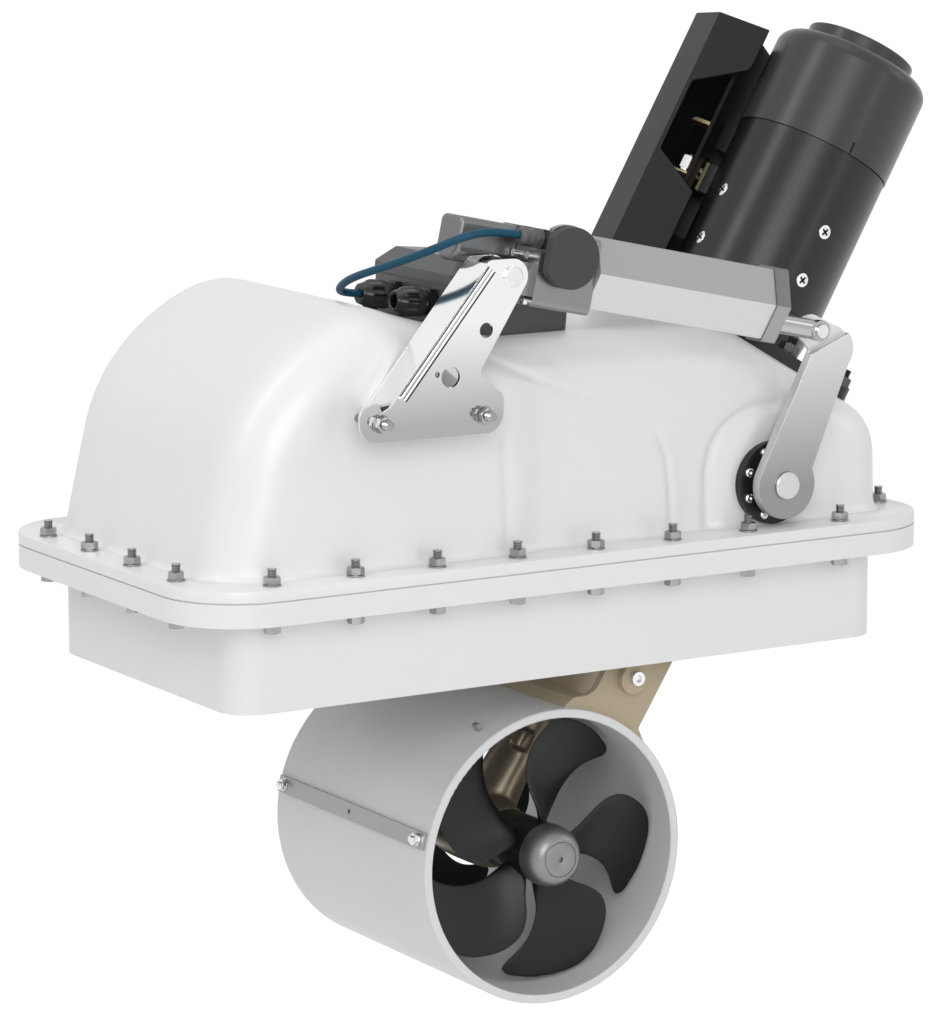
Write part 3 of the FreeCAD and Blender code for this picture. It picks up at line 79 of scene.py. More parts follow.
def local_frame(x: float, y: float, z: float, tilt: float) -> Matrix:
    """Frame at a point in millimetres, turned about Y.

    Args:
        x, y, z: Place in millimetres.
        tilt: Turn about Y in degrees.

    Returns:
        A matrix that takes millimetres in the frame to metres in the CAD frame.
    """
    move = Matrix.Translation(Vector((x, y, z)) * MM)
    return move @ Matrix.Rotation(math.radians(tilt), 4, "Y") @ Matrix.Scale(MM, 4)


def moved(place: Matrix, x: float, y: float, z: float) -> Matrix:
    """A frame moved along its own axes."""
    return place @ Matrix.Translation((x, y, z))


def turned(place: Matrix, angle: float) -> Matrix:
    """A frame turned about its own Z axis by an angle in degrees."""
    return place @ Matrix.Rotation(math.radians(angle), 4, "Z")


def aimed(place: Matrix, start: Point, towards: Point) -> Matrix:
    """Frame inside another, at a point and with its Z axis along a direction.

    Args:
        place: The frame that the point and the direction are given in.
        start: Origin of the new frame.
        towards: Direction of its Z axis.

    Returns:
        The new frame.
    """
    turn = Vector(towards).to_track_quat("Z", "Y").to_matrix().to_4x4()
    return moved(place, *start) @ turn


def direction(place: Matrix, towards: Point) -> Point:
    """Unit direction of the CAD frame for one given in a local frame."""
    return tuple((place.to_3x3() @ Vector(towards)).normalized())


def spot(place: Matrix, at: Point) -> Point:
    """Point of the CAD frame for one given in a local frame."""
    return tuple(place @ Vector(at))


PIVOT = (213.0, 0.0, 150.5)
MOTOR_TILT = 30.0
SIDE_TURN = -54.0
LEG_TILT = 33.0
LEG_LENGTH = 384.0
ACTUATOR_PIN = (-84.0, 0.0, 358.0)
LEVER_LENGTH = 140.0
LEVER_LEAN = math.radians(11.5)
LEVER_PIN = (
    PIVOT[0] + LEVER_LENGTH * math.sin(LEVER_LEAN),
    0.0,
    PIVOT[2] + LEVER_LENGTH * math.cos(LEVER_LEAN),
)
ACTUATOR_DROP, ACTUATOR_RUN = ACTUATOR_PIN[2] - LEVER_PIN[2], LEVER_PIN[0] - ACTUATOR_PIN[0]

WORLD = local_frame(0, 0, 0, 0)
MOTOR = local_frame(*PIVOT, MOTOR_TILT)
SIDE = turned(MOTOR, SIDE_TURN)
LEG = local_frame(*PIVOT, LEG_TILT)
TUNNEL_CENTRE = spot(LEG, (0.0, 0.0, -LEG_LENGTH))
TUNNEL_AXIS = moved(LEG, 0, 0, -LEG_LENGTH)
ACTUATOR = local_frame(*ACTUATOR_PIN, math.degrees(math.atan2(ACTUATOR_DROP, ACTUATOR_RUN)))
CONTROL_BOX = local_frame(-88.0, 0.0, 303.5, 5.5)


# Node groups that several finishes share


class Wiring:
    """Short ways to add and link nodes in one tree."""

    def __init__(self, tree: bpy.types.NodeTree) -> None:
        """Keep the tree, and the sockets of its group nodes if it has them."""
        self.tree = tree
        found = {node.bl_idname: node for node in tree.nodes}
        if "NodeGroupInput" in found:
            self.given = found["NodeGroupInput"].outputs
            self.results = found["NodeGroupOutput"].inputs

    @classmethod
    def group(cls, name: str, inputs: dict[str, object], *outputs: str) -> "Wiring":
        """Start a shader node group with named sockets.

        Args:
            name: Name of the group.
            inputs: Default value by socket name. Its type settles the socket's type.
            *outputs: Socket names, of which Color is a colour and the others are values.

        Returns:
            The wiring of the new group.
        """
        tree = bpy.data.node_groups.new(name, "ShaderNodeTree")
        for label, value in inputs.items():
            kind = "NodeSocketFloat"
            if isinstance(value, tuple):
                kind = "NodeSocketColor" if len(value) == 4 else "NodeSocketVector"
            socket = tree.interface.new_socket(label, in_out="INPUT", socket_type=kind)
            socket.default_value = value
        for label in outputs:
            kind = "NodeSocketColor" if label == "Color" else "NodeSocketFloat"
            tree.interface.new_socket(label, in_out="OUTPUT", socket_type=kind)
        tree.nodes.new("NodeGroupInput")
        tree.nodes.new("NodeGroupOutput")
        return cls(tree)

    def fill(self, node: bpy.types.Node, **sockets: object) -> None:
        """Set or link sockets of a node.

        Args:
            node: The node.
            **sockets: Value or link by the socket's name, with _ for a space, or by s and its
                number.
        """
        for key, value in sockets.items():
            socket = node.inputs[int(key[1:]) if key[1:].isdigit() else key.replace("_", " ")]
            if isinstance(value, bpy.types.NodeSocket):
                self.tree.links.new(value, socket)
            else:
                socket.default_value = value

    def node(self, kind: str, settings: dict[str, object], **sockets: object) -> bpy.types.Node:
        """Add a node.

        Args:
            kind: Class name of the node, without its first word ShaderNode.
            settings: Properties of the node.
            **sockets: Its sockets, as in fill.

        Returns:
            The node.
        """
        made = self.tree.nodes.new("ShaderNode" + kind)
        for key, value in settings.items():
            setattr(made, key, value)
        self.fill(made, **sockets)
        return made

    def math(self, kind: str, a: object, b: object, clamp: bool = False) -> bpy.types.NodeSocket:
        """Result of a Math node on two values or links."""
        return self.node("Math", {"operation": kind, "use_clamp": clamp}, s0=a, s1=b).outputs[0]

    def times(self, a: object, b: object, clamp: bool = False) -> bpy.types.NodeSocket:
        """Product of two values or links."""
        return self.math("MULTIPLY", a, b, clamp)

    def vector(self, kind: str, a: object, **sockets: object) -> bpy.types.NodeOutputs:
        """Outputs of a Vector Math node on a vector and its other sockets."""
        return self.node("VectorMath", {"operation": kind}, s0=a, **sockets).outputs

    def spread(self, value: object, low: object, high: object) -> bpy.types.NodeSocket:
        """A value from 0 to 1 spread between two values."""
        return self.node("MapRange", {}, Value=value, To_Min=low, To_Max=high).outputs[0]

    def share(self, value: object, low: object, high: object) -> bpy.types.NodeSocket:
        """How far a value is from one value to another, from 0 to 1."""
        return self.node("MapRange", {}, Value=value, From_Min=low, From_Max=high).outputs[0]

    def noise(self, at: object, scale: object, detail: float) -> bpy.types.NodeSocket:
        """Value of a Noise texture."""
        return self.node("TexNoise", {}, Vector=at, Scale=scale, Detail=detail).outputs[0]

    def place(self) -> bpy.types.NodeSocket:
        """Point of the object that is shaded."""
        return self.node("TexCoord", {}).outputs["Object"]

    def normal(self) -> bpy.types.NodeSocket:
        """Direction that the shaded face looks in."""
        return self.node("NewGeometry", {}).outputs["Normal"]

    def along(self, vector: object, axis: str) -> bpy.types.NodeSocket:
        """One of the three values of a vector."""
        return self.node("SeparateXYZ", {}, Vector=vector).outputs[axis]

    def mixed(self, share: object, a: object, b: object) -> bpy.types.NodeSocket:
        """Colour that goes from one to another."""
        return self.node("Mix", {"data_type": "RGBA"}, s0=share, s6=a, s7=b).outputs[2]

    def use(self, group: bpy.types.NodeTree, **sockets: object) -> bpy.types.NodeOutputs:
        """Outputs of a group that is put into the tree."""
        return self.node("Group", {"node_tree": group}, **sockets).outputs

    def seen(self) -> bpy.types.NodeSocket:
        """Mask of the camera, glossy and transmitted rays."""
        rays = self.node("LightPath", {}).outputs
        through = self.math("MAXIMUM", rays["Is Glossy Ray"], rays["Is Transmission Ray"])
        return self.math("MAXIMUM", rays["Is Camera Ray"], through)

    def put(self, **results: object) -> bpy.types.NodeTree:
        """Link the results of the group, and return it."""
        for key, value in results.items():
            self.tree.links.new(value, self.results[key])
        return self.tree

    def put_structure(self, pattern: object, height: object) -> bpy.types.NodeTree:
        """Link a pattern, spread between Low and High, as the roughness, and a height."""
        rough = self.spread(pattern, self.given["Low"], self.given["High"])
        return self.put(Roughness=rough, Height=height)


class SharedEffects:
    """The node groups that the finishes use, each built on its first use."""

    @staticmethod
    def structure(name: str, scale: float, low: float, high: float, **others: Point) -> Wiring:
        """Start a group of fine structure, with its usual sockets and others."""
        inputs = {**others, "Scale": scale, "Low": low, "High": high}
        return Wiring.group(name, inputs, "Roughness", "Height")

    @cached_property
    def mottle(self) -> bpy.types.NodeTree:
        """Slow drift of colour between two close tones."""
        inputs = {"Dark": (0.5, 0.5, 0.5, 1), "Light": (0.6, 0.6, 0.6, 1), "Scale": 20.0}
        w = Wiring.group("Mottle", inputs, "Color")
        at, scale = w.place(), w.given["Scale"]
        slow, fine = w.noise(at, scale, 4.0), w.noise(at, w.times(scale, 11.0), 2.0)
        both = w.math("ADD", w.times(slow, 0.75), w.times(fine, 0.25), True)
        return w.put(Color=w.mixed(w.spread(both, -0.4, 1.4), w.given["Dark"], w.given["Light"]))

    @cached_property
    def grain(self) -> bpy.types.NodeTree:
        """Fine even grain of paint, gelcoat and moulded plastic."""
        w = self.structure("Fine grain", 900.0, 0.3, 0.4)
        at, scale = w.place(), w.given["Scale"]
        fine, broad = w.noise(at, scale, 2.0), w.noise(at, w.times(scale, 0.03), 3.0)
        return w.put_structure(broad, fine)

    @cached_property
    def drawn(self) -> bpy.types.NodeTree:
        """Long fine lines of rolled, drawn or brushed metal."""
        w = self.structure("Drawn lines", 1400.0, 0.2, 0.3, Along=(1.0, 0.0, 0.0))
        at, along, stretch = w.place(), w.given["Along"], 0.985
        part = w.vector("DOT_PRODUCT", at, s1=along)["Value"]
        shift = w.vector("SCALE", along, Scale=w.times(part, stretch))[0]
        lines = w.noise(w.vector("SUBTRACT", at, s1=shift)[0], w.given["Scale"], 3.0)
        return w.put_structure(lines, lines)

    @cached_property
    def turned(self) -> bpy.types.NodeTree:
        """Fine rings left by a lathe round an axis."""
        axes = {"Centre": (0.0, 0.0, 0.0), "Axis": (0.0, 1.0, 0.0)}
        w = self.structure("Turned rings", 1800.0, 0.15, 0.3, **axes)
        axis, feed = w.given["Axis"], 0.4
        out = w.vector("SUBTRACT", w.place(), s1=w.given["Centre"])[0]
        radius = w.vector("LENGTH", w.vector("CROSS_PRODUCT", out, s1=axis)[0])["Value"]
        height = w.times(w.vector("DOT_PRODUCT", out, s1=axis)["Value"], feed)
        flat = w.node("CombineXYZ", {}, X=radius, Y=height).outputs[0]
        rings = w.noise(flat, w.given["Scale"], 2.0)
        return w.put_structure(rings, rings)

    @cached_property
    def cast(self) -> bpy.types.NodeTree:
        """Pebbled skin of a casting."""
        w = self.structure("Cast skin", 260.0, 0.35, 0.55)
        at, scale = w.place(), w.given["Scale"]
        pebbles = w.node("TexVoronoi", {"feature": "SMOOTH_F1"}, Vector=at, Scale=scale).outputs[0]
        fine = w.noise(at, w.times(scale, 3.0), 3.0)
        return w.put_structure(fine, w.math("ADD", w.times(pebbles, 0.6), w.times(fine, 0.4)))

    @cached_property
    def edge(self) -> bpy.types.NodeTree:
        """Mask of the edges, where a finish is rubbed thin or polished."""
        w = Wiring.group("Edge rub", {"Width": 0.001, "Amount": 1.0}, "Mask")
        soft = w.node("Bevel", {"samples": 4}, Radius=w.given["Width"]).outputs[0]
        same = w.vector("DOT_PRODUCT", soft, s1=w.normal())["Value"]
        broken = w.spread(w.noise(w.place(), 220.0, 3.0), 0.2, 1.4)
        rub = w.times(w.math("SUBTRACT", 1.0, same), w.times(w.given["Amount"], 6.0))
        return w.put(Mask=w.times(rub, broken, True))

    @cached_property
    def fade(self) -> bpy.types.NodeTree:
        """Mask of painted shade, from 0 to 1 up the faces that look to the lever's side, and 1 on
        the others.
        """
        w = Wiring.group("Height fade", {"Low": 0.0, "High": 1.0}, "Mask")
        height = w.share(w.along(w.place(), "Z"), w.given["Low"], w.given["High"])
        other_side = w.share(w.along(w.normal(), "Y"), -0.7, -0.4)
        return w.put(Mask=w.math("MAXIMUM", height, other_side))

    @cached_property
    def painted_shade_on_top(self) -> bpy.types.NodeTree:
        """Mask of painted shade on the faces that look up: 0 on them and 1 on the others."""
        w = Wiring.group("Painted shade on top", {"Low": 0.35, "High": 0.1}, "Mask")
        up = w.along(w.normal(), "Z")
        return w.put(Mask=w.share(up, w.given["Low"], w.given["High"]))


EFFECTS = SharedEffects()


class Surface(Enum):
    """How a finish's fine structure runs, by the name of its shared group."""

    GRAIN = "grain"
    DRAWN = "drawn"
    TURNED = "turned"
    CAST = "cast"


class Way(Enum):
    """How a finish's painted shade runs, by the name of its shared group."""

    DOWN = "fade"
    UPWARD = "painted_shade_on_top"


@dataclass(frozen=True)
class PaintedShade:
    """Painted shade of a finish: a darker tone, full at low and gone at high.

    Low and high are heights in metres, or the upward part of the normal.
    """

    low: float
    high: float
    colour: Colour
    way: Way = Way.DOWN


@dataclass(frozen=True)
class Finish:
    """One finish, with its colour, its lowest and highest roughness and its structure."""

    name: str
    colour: Colour
    low: float
    high: float
    surface: Surface = Surface.GRAIN
    drift: float = 0.04
    drift_scale: float = 20.0
    scale: float = 1500.0
    bump: float = 0.05
    metallic: float = 0.0
    coat: float = 0.0
    coat_roughness: float = 0.1
    specular: float = 0.5
    along: Point = (0.0, 1.0, 0.0)
    centre: Point = (0.0, 0.0, 0.0)
    edge: Colour | None = None
    edge_width: float = 0.0012
    edge_amount: float = 0.6
    fade: PaintedShade | None = None

    def tone(self, factor: float) -> tuple[float, float, float, float]:
        """The colour made lighter or darker."""
        r, g, b = (min(1.0, c * factor) for c in self.colour)
        return (r, g, b, 1.0)

    @cache
    def material(self) -> bpy.types.Material:
        """Build the material on its first use.

        Returns:
            The material, with its uniform values set on the shader's own sockets.
        """
        material = bpy.data.materials.new(self.name)
        material.use_nodes = True
        material.diffuse_color = self.tone(1.0)
        w = Wiring(material.node_tree)
        dark, light = self.tone(1.0 - self.drift), self.tone(1.0 + self.drift)
        colour = w.use(EFFECTS.mottle, Dark=dark, Light=light, Scale=self.drift_scale)["Color"]
        if self.edge is not None:
            rub = w.use(EFFECTS.edge, Width=self.edge_width, Amount=self.edge_amount)[0]
            colour = w.mixed(rub, colour, (*self.edge, 1.0))
        # Painted shade: the colour goes to a darker tone low on the lever's side, or on the faces
        # that look up.
        if self.fade is not None:
            group = getattr(EFFECTS, self.fade.way.value)
            mask = w.use(group, Low=self.fade.low, High=self.fade.high)[0]
            colour = w.mixed(mask, (*self.fade.colour, 1.0), colour)
        runs = {
            Surface.DRAWN: {"Along": self.along},
            Surface.TURNED: {"Axis": self.along, "Centre": self.centre},
        }.get(self.surface, {})
        group = getattr(EFFECTS, self.surface.value)
        fine = w.use(group, Scale=self.scale, Low=self.low, High=self.high, **runs)
        height = fine["Height"]
        bump = w.node("Bump", {}, Strength=self.bump, Distance=BUMP_DEPTH, Height=height).outputs[0]
        w.fill(
            material.node_tree.nodes["Principled BSDF"],
            Metallic=self.metallic,
            Coat_Weight=self.coat,
            Coat_Roughness=self.coat_roughness,
            Specular_IOR_Level=self.specular,
            Base_Color=colour,
            Roughness=fine["Roughness"],
            Normal=bump,
        )
        return material


ACTUATOR_AXIS = direction(ACTUATOR, (1.0, 0.0, 0.0))


class Finishes:
    """Every finish of the thruster."""

    GELCOAT = Finish(
        "gelcoat", (0.83, 0.835, 0.83), 0.32, 0.42, drift=0.012, drift_scale=6.0, scale=700.0,
        coat=0.25, coat_roughness=0.18,
    )
    TUNNEL = Finish(
        "tunnel gelcoat", (0.74, 0.745, 0.75), 0.38, 0.5, drift=0.02, drift_scale=9.0, scale=800.0,
        bump=0.06, coat=0.15, coat_roughness=0.25,
    )
    SEALANT = Finish(
        "flange sealant", (0.78, 0.78, 0.77), 0.6, 0.75, drift=0.06, scale=500.0, bump=0.2,
    )
    FASTENER = Finish(
        "stainless fasteners", (0.33, 0.33, 0.328), 0.08, 0.18, drift=0.08, drift_scale=300.0,
        metallic=1.0,
    )
    SCREW = Finish(
        "bright screws", (0.74, 0.74, 0.73), 0.14, 0.26, drift=0.06, drift_scale=300.0, bump=0.04,
        metallic=1.0,
    )
    DARK_STUD = Finish(
        "blackened studs", (0.07, 0.072, 0.075), 0.25, 0.4, drift=0.1, drift_scale=200.0, bump=0.08,
        metallic=1.0,
    )
    MIRROR = Finish(
        "polished plate", (0.85, 0.86, 0.86), 0.05, 0.13, Surface.DRAWN, drift=0.02, scale=2200.0,
        bump=0.012, metallic=1.0, along=direction(WORLD, (0.64, 0.0, 0.77)),
        # Painted reflection shade: the faces that look to the lever's side darken towards the
        # bottom.
        fade=PaintedShade(0.2387, 0.322, (0.4, 0.41, 0.415)),
    )
    LEVER = Finish(
        "ground lever", (0.62, 0.625, 0.62), 0.3, 0.42, Surface.DRAWN, drift=0.03, metallic=1.0,
        along=direction(WORLD, (0.36, 0.0, 0.93)), edge=(0.86, 0.86, 0.86), edge_width=0.0015,
        # Painted reflection shade: the faces that look to the lever's side darken towards the
        # bottom.
        fade=PaintedShade(0.15, 0.28, (0.265, 0.272, 0.276)),
    )
    AXLE = Finish(
        "turned axle", (0.58, 0.58, 0.575), 0.2, 0.34, Surface.TURNED, drift=0.03, scale=2600.0,
        bump=0.08, metallic=1.0, centre=spot(WORLD, PIVOT),
    )
    HIDDEN_STEEL = Finish(
        "machined steel", (0.5, 0.5, 0.49), 0.25, 0.4, drift=0.06, scale=1200.0, bump=0.08,
        metallic=1.0,
    )
    MOTOR_BLACK = Finish(
        "motor paint", (0.007, 0.0072, 0.008), 0.27, 0.33, drift=0.08, scale=1300.0, bump=0.03,
        specular=0.42,
    )
    CAP_GREY = Finish(
        "motor cap paint", (0.034, 0.0345, 0.036), 0.27, 0.33, drift=0.05, scale=1300.0, bump=0.03,
        specular=0.42,
    )
    FLANGE_BLACK = Finish(
        "black coating", (0.012, 0.0122, 0.013), 0.32, 0.45, drift=0.1, scale=1100.0, bump=0.08,
        specular=0.35,
    )
    COVER_GREY = Finish(
        "powder coat", (0.01, 0.0103, 0.0118), 0.3, 0.38, drift=0.08, bump=0.1, specular=0.2,
    )
    INNER_BLACK = Finish(
        "black moulding", (0.004, 0.004, 0.0045), 0.5, 0.62, drift=0.1, scale=900.0, bump=0.1,
        specular=0.12,
    )
    BRASS = Finish(
        "brass", (0.42, 0.36, 0.2), 0.22, 0.36, drift=0.08, drift_scale=120.0, scale=1300.0,
        metallic=1.0,
    )
    BOX_GREY = Finish(
        "control box plastic", (0.062, 0.063, 0.066), 0.32, 0.42, scale=1200.0, bump=0.12,
    )
    GLAND_BLACK = Finish(
        "gland nylon", (0.008, 0.0083, 0.0095), 0.16, 0.26, drift=0.05, bump=0.06,
    )
    CABLE_BLUE = Finish(
        "cable sheath", (0.004, 0.062, 0.112), 0.36, 0.48, drift=0.05, drift_scale=90.0,
        scale=1600.0, specular=0.25,
    )
    TUBE = Finish(
        "anodised tube", (0.66, 0.665, 0.665), 0.42, 0.52, Surface.DRAWN, drift=0.012, scale=1800.0,
        bump=0.02, metallic=0.35, specular=0.3, along=ACTUATOR_AXIS,
        # Painted reflection shade: the facets that look up are darker.
        fade=PaintedShade(0.3, 0.1, (0.37, 0.373, 0.373), Way.UPWARD),
    )
    CASTING = Finish(
        "gear casting", (0.23, 0.234, 0.238), 0.2, 0.32, Surface.CAST, drift=0.05, scale=500.0,
        metallic=1.0,
    )
    END_CAP = Finish(
        "end cap casting", (0.3, 0.305, 0.31), 0.3, 0.42, Surface.CAST, scale=600.0, metallic=0.9,
        # Painted shade: the faces that look up are darker.
        fade=PaintedShade(0.3, 0.1, (0.15, 0.153, 0.156), Way.UPWARD),
    )
    SIDE_CAP = Finish(
        "matte cap", (0.062, 0.063, 0.066), 0.6, 0.72, drift=0.03, scale=1400.0, bump=0.1,
        specular=0.25,
    )
    MOTOR_TUBE = Finish(
        "actuator motor shell", (0.18, 0.182, 0.185), 0.3, 0.42, Surface.DRAWN, drift=0.03,
        bump=0.03, metallic=0.9, along=ACTUATOR_AXIS,
    )
    RELIEF = Finish("relief rubber", (0.1, 0.1, 0.103), 0.4, 0.52, scale=1300.0, bump=0.06)
    ROD = Finish(
        "ground rod", (0.42, 0.42, 0.418), 0.08, 0.16, Surface.TURNED, drift=0.02, scale=3000.0,
        bump=0.02, metallic=1.0, along=ACTUATOR_AXIS, centre=spot(ACTUATOR, (0.0, -187.0, 0.0)),
    )
    BEIGE = Finish(
        "beige paint", (0.46, 0.385, 0.265), 0.4, 0.52, scale=800.0, bump=0.12,
        edge=(0.6, 0.52, 0.38), edge_amount=0.3,
    )
    BRONZE = Finish(
        "bronze casting", (0.3, 0.255, 0.19), 0.3, 0.46, Surface.CAST, drift=0.09,
        drift_scale=40.0, scale=320.0, bump=0.12, metallic=0.85,
    )
    BLADE = Finish(
        "blade nylon", (0.006, 0.0062, 0.007), 0.32, 0.4, drift=0.06, scale=1100.0, bump=0.08,
        specular=0.3,
    )
    SPINNER = Finish(
        "spinner", (0.23, 0.233, 0.237), 0.32, 0.42, Surface.TURNED, drift=0.03, scale=1600.0,
        metallic=0.85, centre=TUNNEL_CENTRE,
    )
    STRAP = Finish(
        "strap zinc", (0.36, 0.37, 0.375), 0.35, 0.48, Surface.DRAWN, scale=1300.0, bump=0.04,
        metallic=0.8,
    )


# Meshes

AXIS = 0.01  # radius in millimetres of a profile's end on the axis
MERGE_ANGLE = 0.4
EASE_ANGLE = 30.0
JOIN_WITHIN = 2e-6
SMOOTHING = 0.6


def linked(name: str, data: bpy.types.ID) -> bpy.types.Object:
    """New object of the scene that shows some data."""
    item = bpy.data.objects.new(name, data)
    bpy.context.scene.collection.objects.link(item)
    return item


def settled(work: bmesh.types.BMesh, mesh: bpy.types.Mesh) -> bpy.types.Mesh:
    """A mesh with the work written into it, and the work freed."""
    work.to_mesh(mesh)
    work.free()
    return mesh


def clamped(value: float) -> float:
    """A value held between 0 and 1."""
    return max(0.0, min(1.0, value))


def hexagonal(apothem: float, height: float) -> Station:
    """Station of a profile with six flat sides."""
    side = 2 * math.pi / 6
    return lambda angle: (apothem / math.cos(angle % side - side / 2), height)


class Shape:
    """Points and faces of one piece, collected from simple solids."""

    def __init__(self) -> None:
        """Start empty."""
        self.points: list[Vector] = []
        self.faces: list[tuple[int, ...]] = []

    def grid(self, rows: Sequence[Sequence[Vector]], closed: bool = False) -> "Shape":
        """Join rows of points by quads.

        Args:
            rows: Closed rows of as many points each.
            closed: Whether the last row joins the first. If not, both are filled.

        Returns:
            The shape itself.
        """
        base, count = len(self.points), len(rows[0])
        for row in rows:
            self.points.extend(row)
        for i in range(len(rows) if closed else len(rows) - 1):
            a, b = base + i * count, base + ((i + 1) % len(rows)) * count
            for j in range(count):
                k = (j + 1) % count
                self.faces.append((a + j, a + k, b + k, b + j))
        if not closed:
            last = base + (len(rows) - 1) * count
            self.faces.append(tuple(base + j for j in reversed(range(count))))
            self.faces.append(tuple(last + j for j in range(count)))
        return self

    def lathe(
        self, stations: Iterable[Pair | Station], place: Matrix, sides: int, bore: bool = False
    ) -> "Shape":
        """Turned solid round the Z axis of a frame.

        Args:
            stations: Radius and height, or a function of the angle that gives them, in order.
            place: Frame of the solid.
            sides: Number of points round it.
            bore: Whether the profile is a closed loop round a bore.

        Returns:
            The shape itself.
        """
        rows = []
        for station in stations:
            row = []
            for j in range(sides):
                angle = 2 * math.pi * j / sides
                radius, height = station(angle) if callable(station) else station
                flat = (radius * math.cos(angle), radius * math.sin(angle))
                row.append(place @ Vector((*flat, height)))
            rows.append(row)
        return self.grid(rows, bore)

    def bar(self, place: Matrix, x: float, y: float, height: float) -> "Shape":
        """Rectangular bar along the Z axis of a frame, given its half sizes and its height."""
        corners = ((x, y), (-x, y), (-x, -y), (x, -y))
        return self.grid([[place @ Vector((*c, z)) for c in corners] for z in (0.0, height)])

    def tube(self, path: Sequence[Vector], radius: float, sides: int) -> "Shape":
        """Round tube along a path, in metres."""
        rows = []
        across = None
        for i, at in enumerate(path):
            ahead = (path[min(i + 1, len(path) - 1)] - path[max(i - 1, 0)]).normalized()
            across = (across or ahead.orthogonal()).copy()
            across = (across - ahead * across.dot(ahead)).normalized()
            other = ahead.cross(across)
            turns = [2 * math.pi * j / sides for j in range(sides)]
            rows.append([at + (across * math.cos(t) + other * math.sin(t)) * radius for t in turns])
        return self.grid(rows)

    def mesh(self, name: str) -> bpy.types.Mesh:
        """The collected mesh, with its normals pointing out."""
        mesh = bpy.data.meshes.new(name)
        mesh.from_pydata([tuple(p) for p in self.points], [], self.faces)
        work = bmesh.new()
        work.from_mesh(mesh)
        bmesh.ops.recalc_face_normals(work, faces=work.faces)
        return settled(work, mesh)


def place_piece(
    name: str,
    source: Shape | bpy.types.Mesh,
    finish: Finish,
    body: Body = Body.HOUSING,
    node: str = "",
    crease: float = 32.0,
    rides: bool = True,
) -> bpy.types.Object:
    """Put a finished piece into the scene, on its body.

    Args:
        name: Name of the piece.
        source: Its shape, or its mesh in metres.
        finish: Its finish.
        body: The body that it rides on.
        node: The node that it stands for, if any.
        crease: Angle in degrees above which an edge stays sharp in the shading.
        rides: Whether it rides on the body, or is left without one.

    Returns:
        The piece.
    """
    mesh = source.mesh(name) if isinstance(source, Shape) else source
    mesh.name = name
    mesh.materials.clear()
    mesh.materials.append(finish.material())
    for polygon in mesh.polygons:
        polygon.material_index = 0
        polygon.use_smooth = True
    mesh.set_sharp_from_angle(angle=math.radians(crease))
    piece = linked(name, mesh)
    if rides:
        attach(piece, body.value)
    if node:
        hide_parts(node)
    log.info("%s: %d faces on %s", name, len(mesh.polygons), body.value)
    return piece


def eased(body: Body, node: str, name: str, radius: float, finish: Finish, steps: int = 2) -> None:
    """Place a node's shape with every hard edge eased by a small radius.

    Args:
        body: The body that it rides on.
        node: Name of the node, which the piece replaces.
        name: Name of the piece.
        radius: Radius of the eased edges in millimetres.
        finish: Finish of the piece.
        steps: Faces across an eased edge.
    """
    work = bmesh.new()
    work.from_mesh(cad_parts[node].data)
    bmesh.ops.remove_doubles(work, verts=work.verts, dist=JOIN_WITHIN)
    bmesh.ops.dissolve_degenerate(work, edges=work.edges, dist=JOIN_WITHIN / 2)
    bmesh.ops.dissolve_limit(
        work, angle_limit=math.radians(MERGE_ANGLE), verts=work.verts, edges=work.edges,
        use_dissolve_boundaries=False,
    )
    hard = math.radians(EASE_ANGLE)
    sharp = [e for e in work.edges if len(e.link_faces) == 2 and e.calc_face_angle(0.0) > hard]
    bmesh.ops.bevel(
        work, geom=sharp, offset=radius * MM, offset_type="WIDTH", segments=steps, profile=0.5,
        affect="EDGES", clamp_overlap=True, loop_slide=True, miter_outer="ARC",
    )
    mesh = settled(work, bpy.data.meshes.new(name))
    piece = place_piece(name, mesh, finish, body, node, crease=50.0)
    piece.modifiers.new("even shading", "WEIGHTED_NORMAL").keep_sharp = True


def remade(
    node: str, voxel: float, rounds: int, hold: Callable[[Vector], float], cut: float | None = None
) -> bpy.types.Mesh:
    """A node's shape remade on an even grid and smoothed, for soft moulded forms.

    Args:
        node: Name of the node.
        voxel: Size of the grid in millimetres.
        rounds: Rounds of smoothing.
        hold: How far a point may be smoothed, from 0 to 1, by its place.
        cut: Height in metres below which the mesh is cut away.

    Returns:
        The new mesh.
    """
    source = linked("source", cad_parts[node].data.copy())
    grid = source.modifiers.new("grid", "REMESH")
    grid.mode = "VOXEL"
    grid.voxel_size = voxel * MM
    even = bpy.context.evaluated_depsgraph_get()
    mesh = bpy.data.meshes.new_from_object(source.evaluated_get(even))
    bpy.data.objects.remove(source)
    work = bmesh.new()
    work.from_mesh(mesh)
    work.verts.ensure_lookup_table()
    places = [v.co.copy() for v in work.verts]
    weights = [SMOOTHING * hold(p) for p in places]
    near = [[e.other_vert(v).index for e in v.link_edges] for v in work.verts]

    def smoothed(i: int, p: Vector) -> Vector:
        """A point drawn to the middle of its neighbours."""
        if weights[i] <= 0 or not near[i]:
            return p
        return p.lerp(sum((places[k] for k in near[i]), Vector()) / len(near[i]), weights[i])

    for _ in range(rounds):
        places = [smoothed(i, p) for i, p in enumerate(places)]
    for vert, p in zip(work.verts, places):
        vert.co = p
    if cut is not None:
        everything = work.verts[:] + work.edges[:] + work.faces[:]
        plane = {"plane_co": (0, 0, cut), "plane_no": (0, 0, 1)}
        bmesh.ops.bisect_plane(work, geom=everything, clear_inner=True, **plane)
    return settled(work, mesh)


def wear(finish: Finish, *nodes: str) -> None:
    """Give nodes that stay their finish."""
    for node in nodes:
        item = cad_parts[node]
        if not item.material_slots:
            item.data.materials.append(finish.material())
        for place in item.material_slots:
            place.material = finish.material()
        log.info("%s: finished as %s", node, finish.name)


# Fasteners


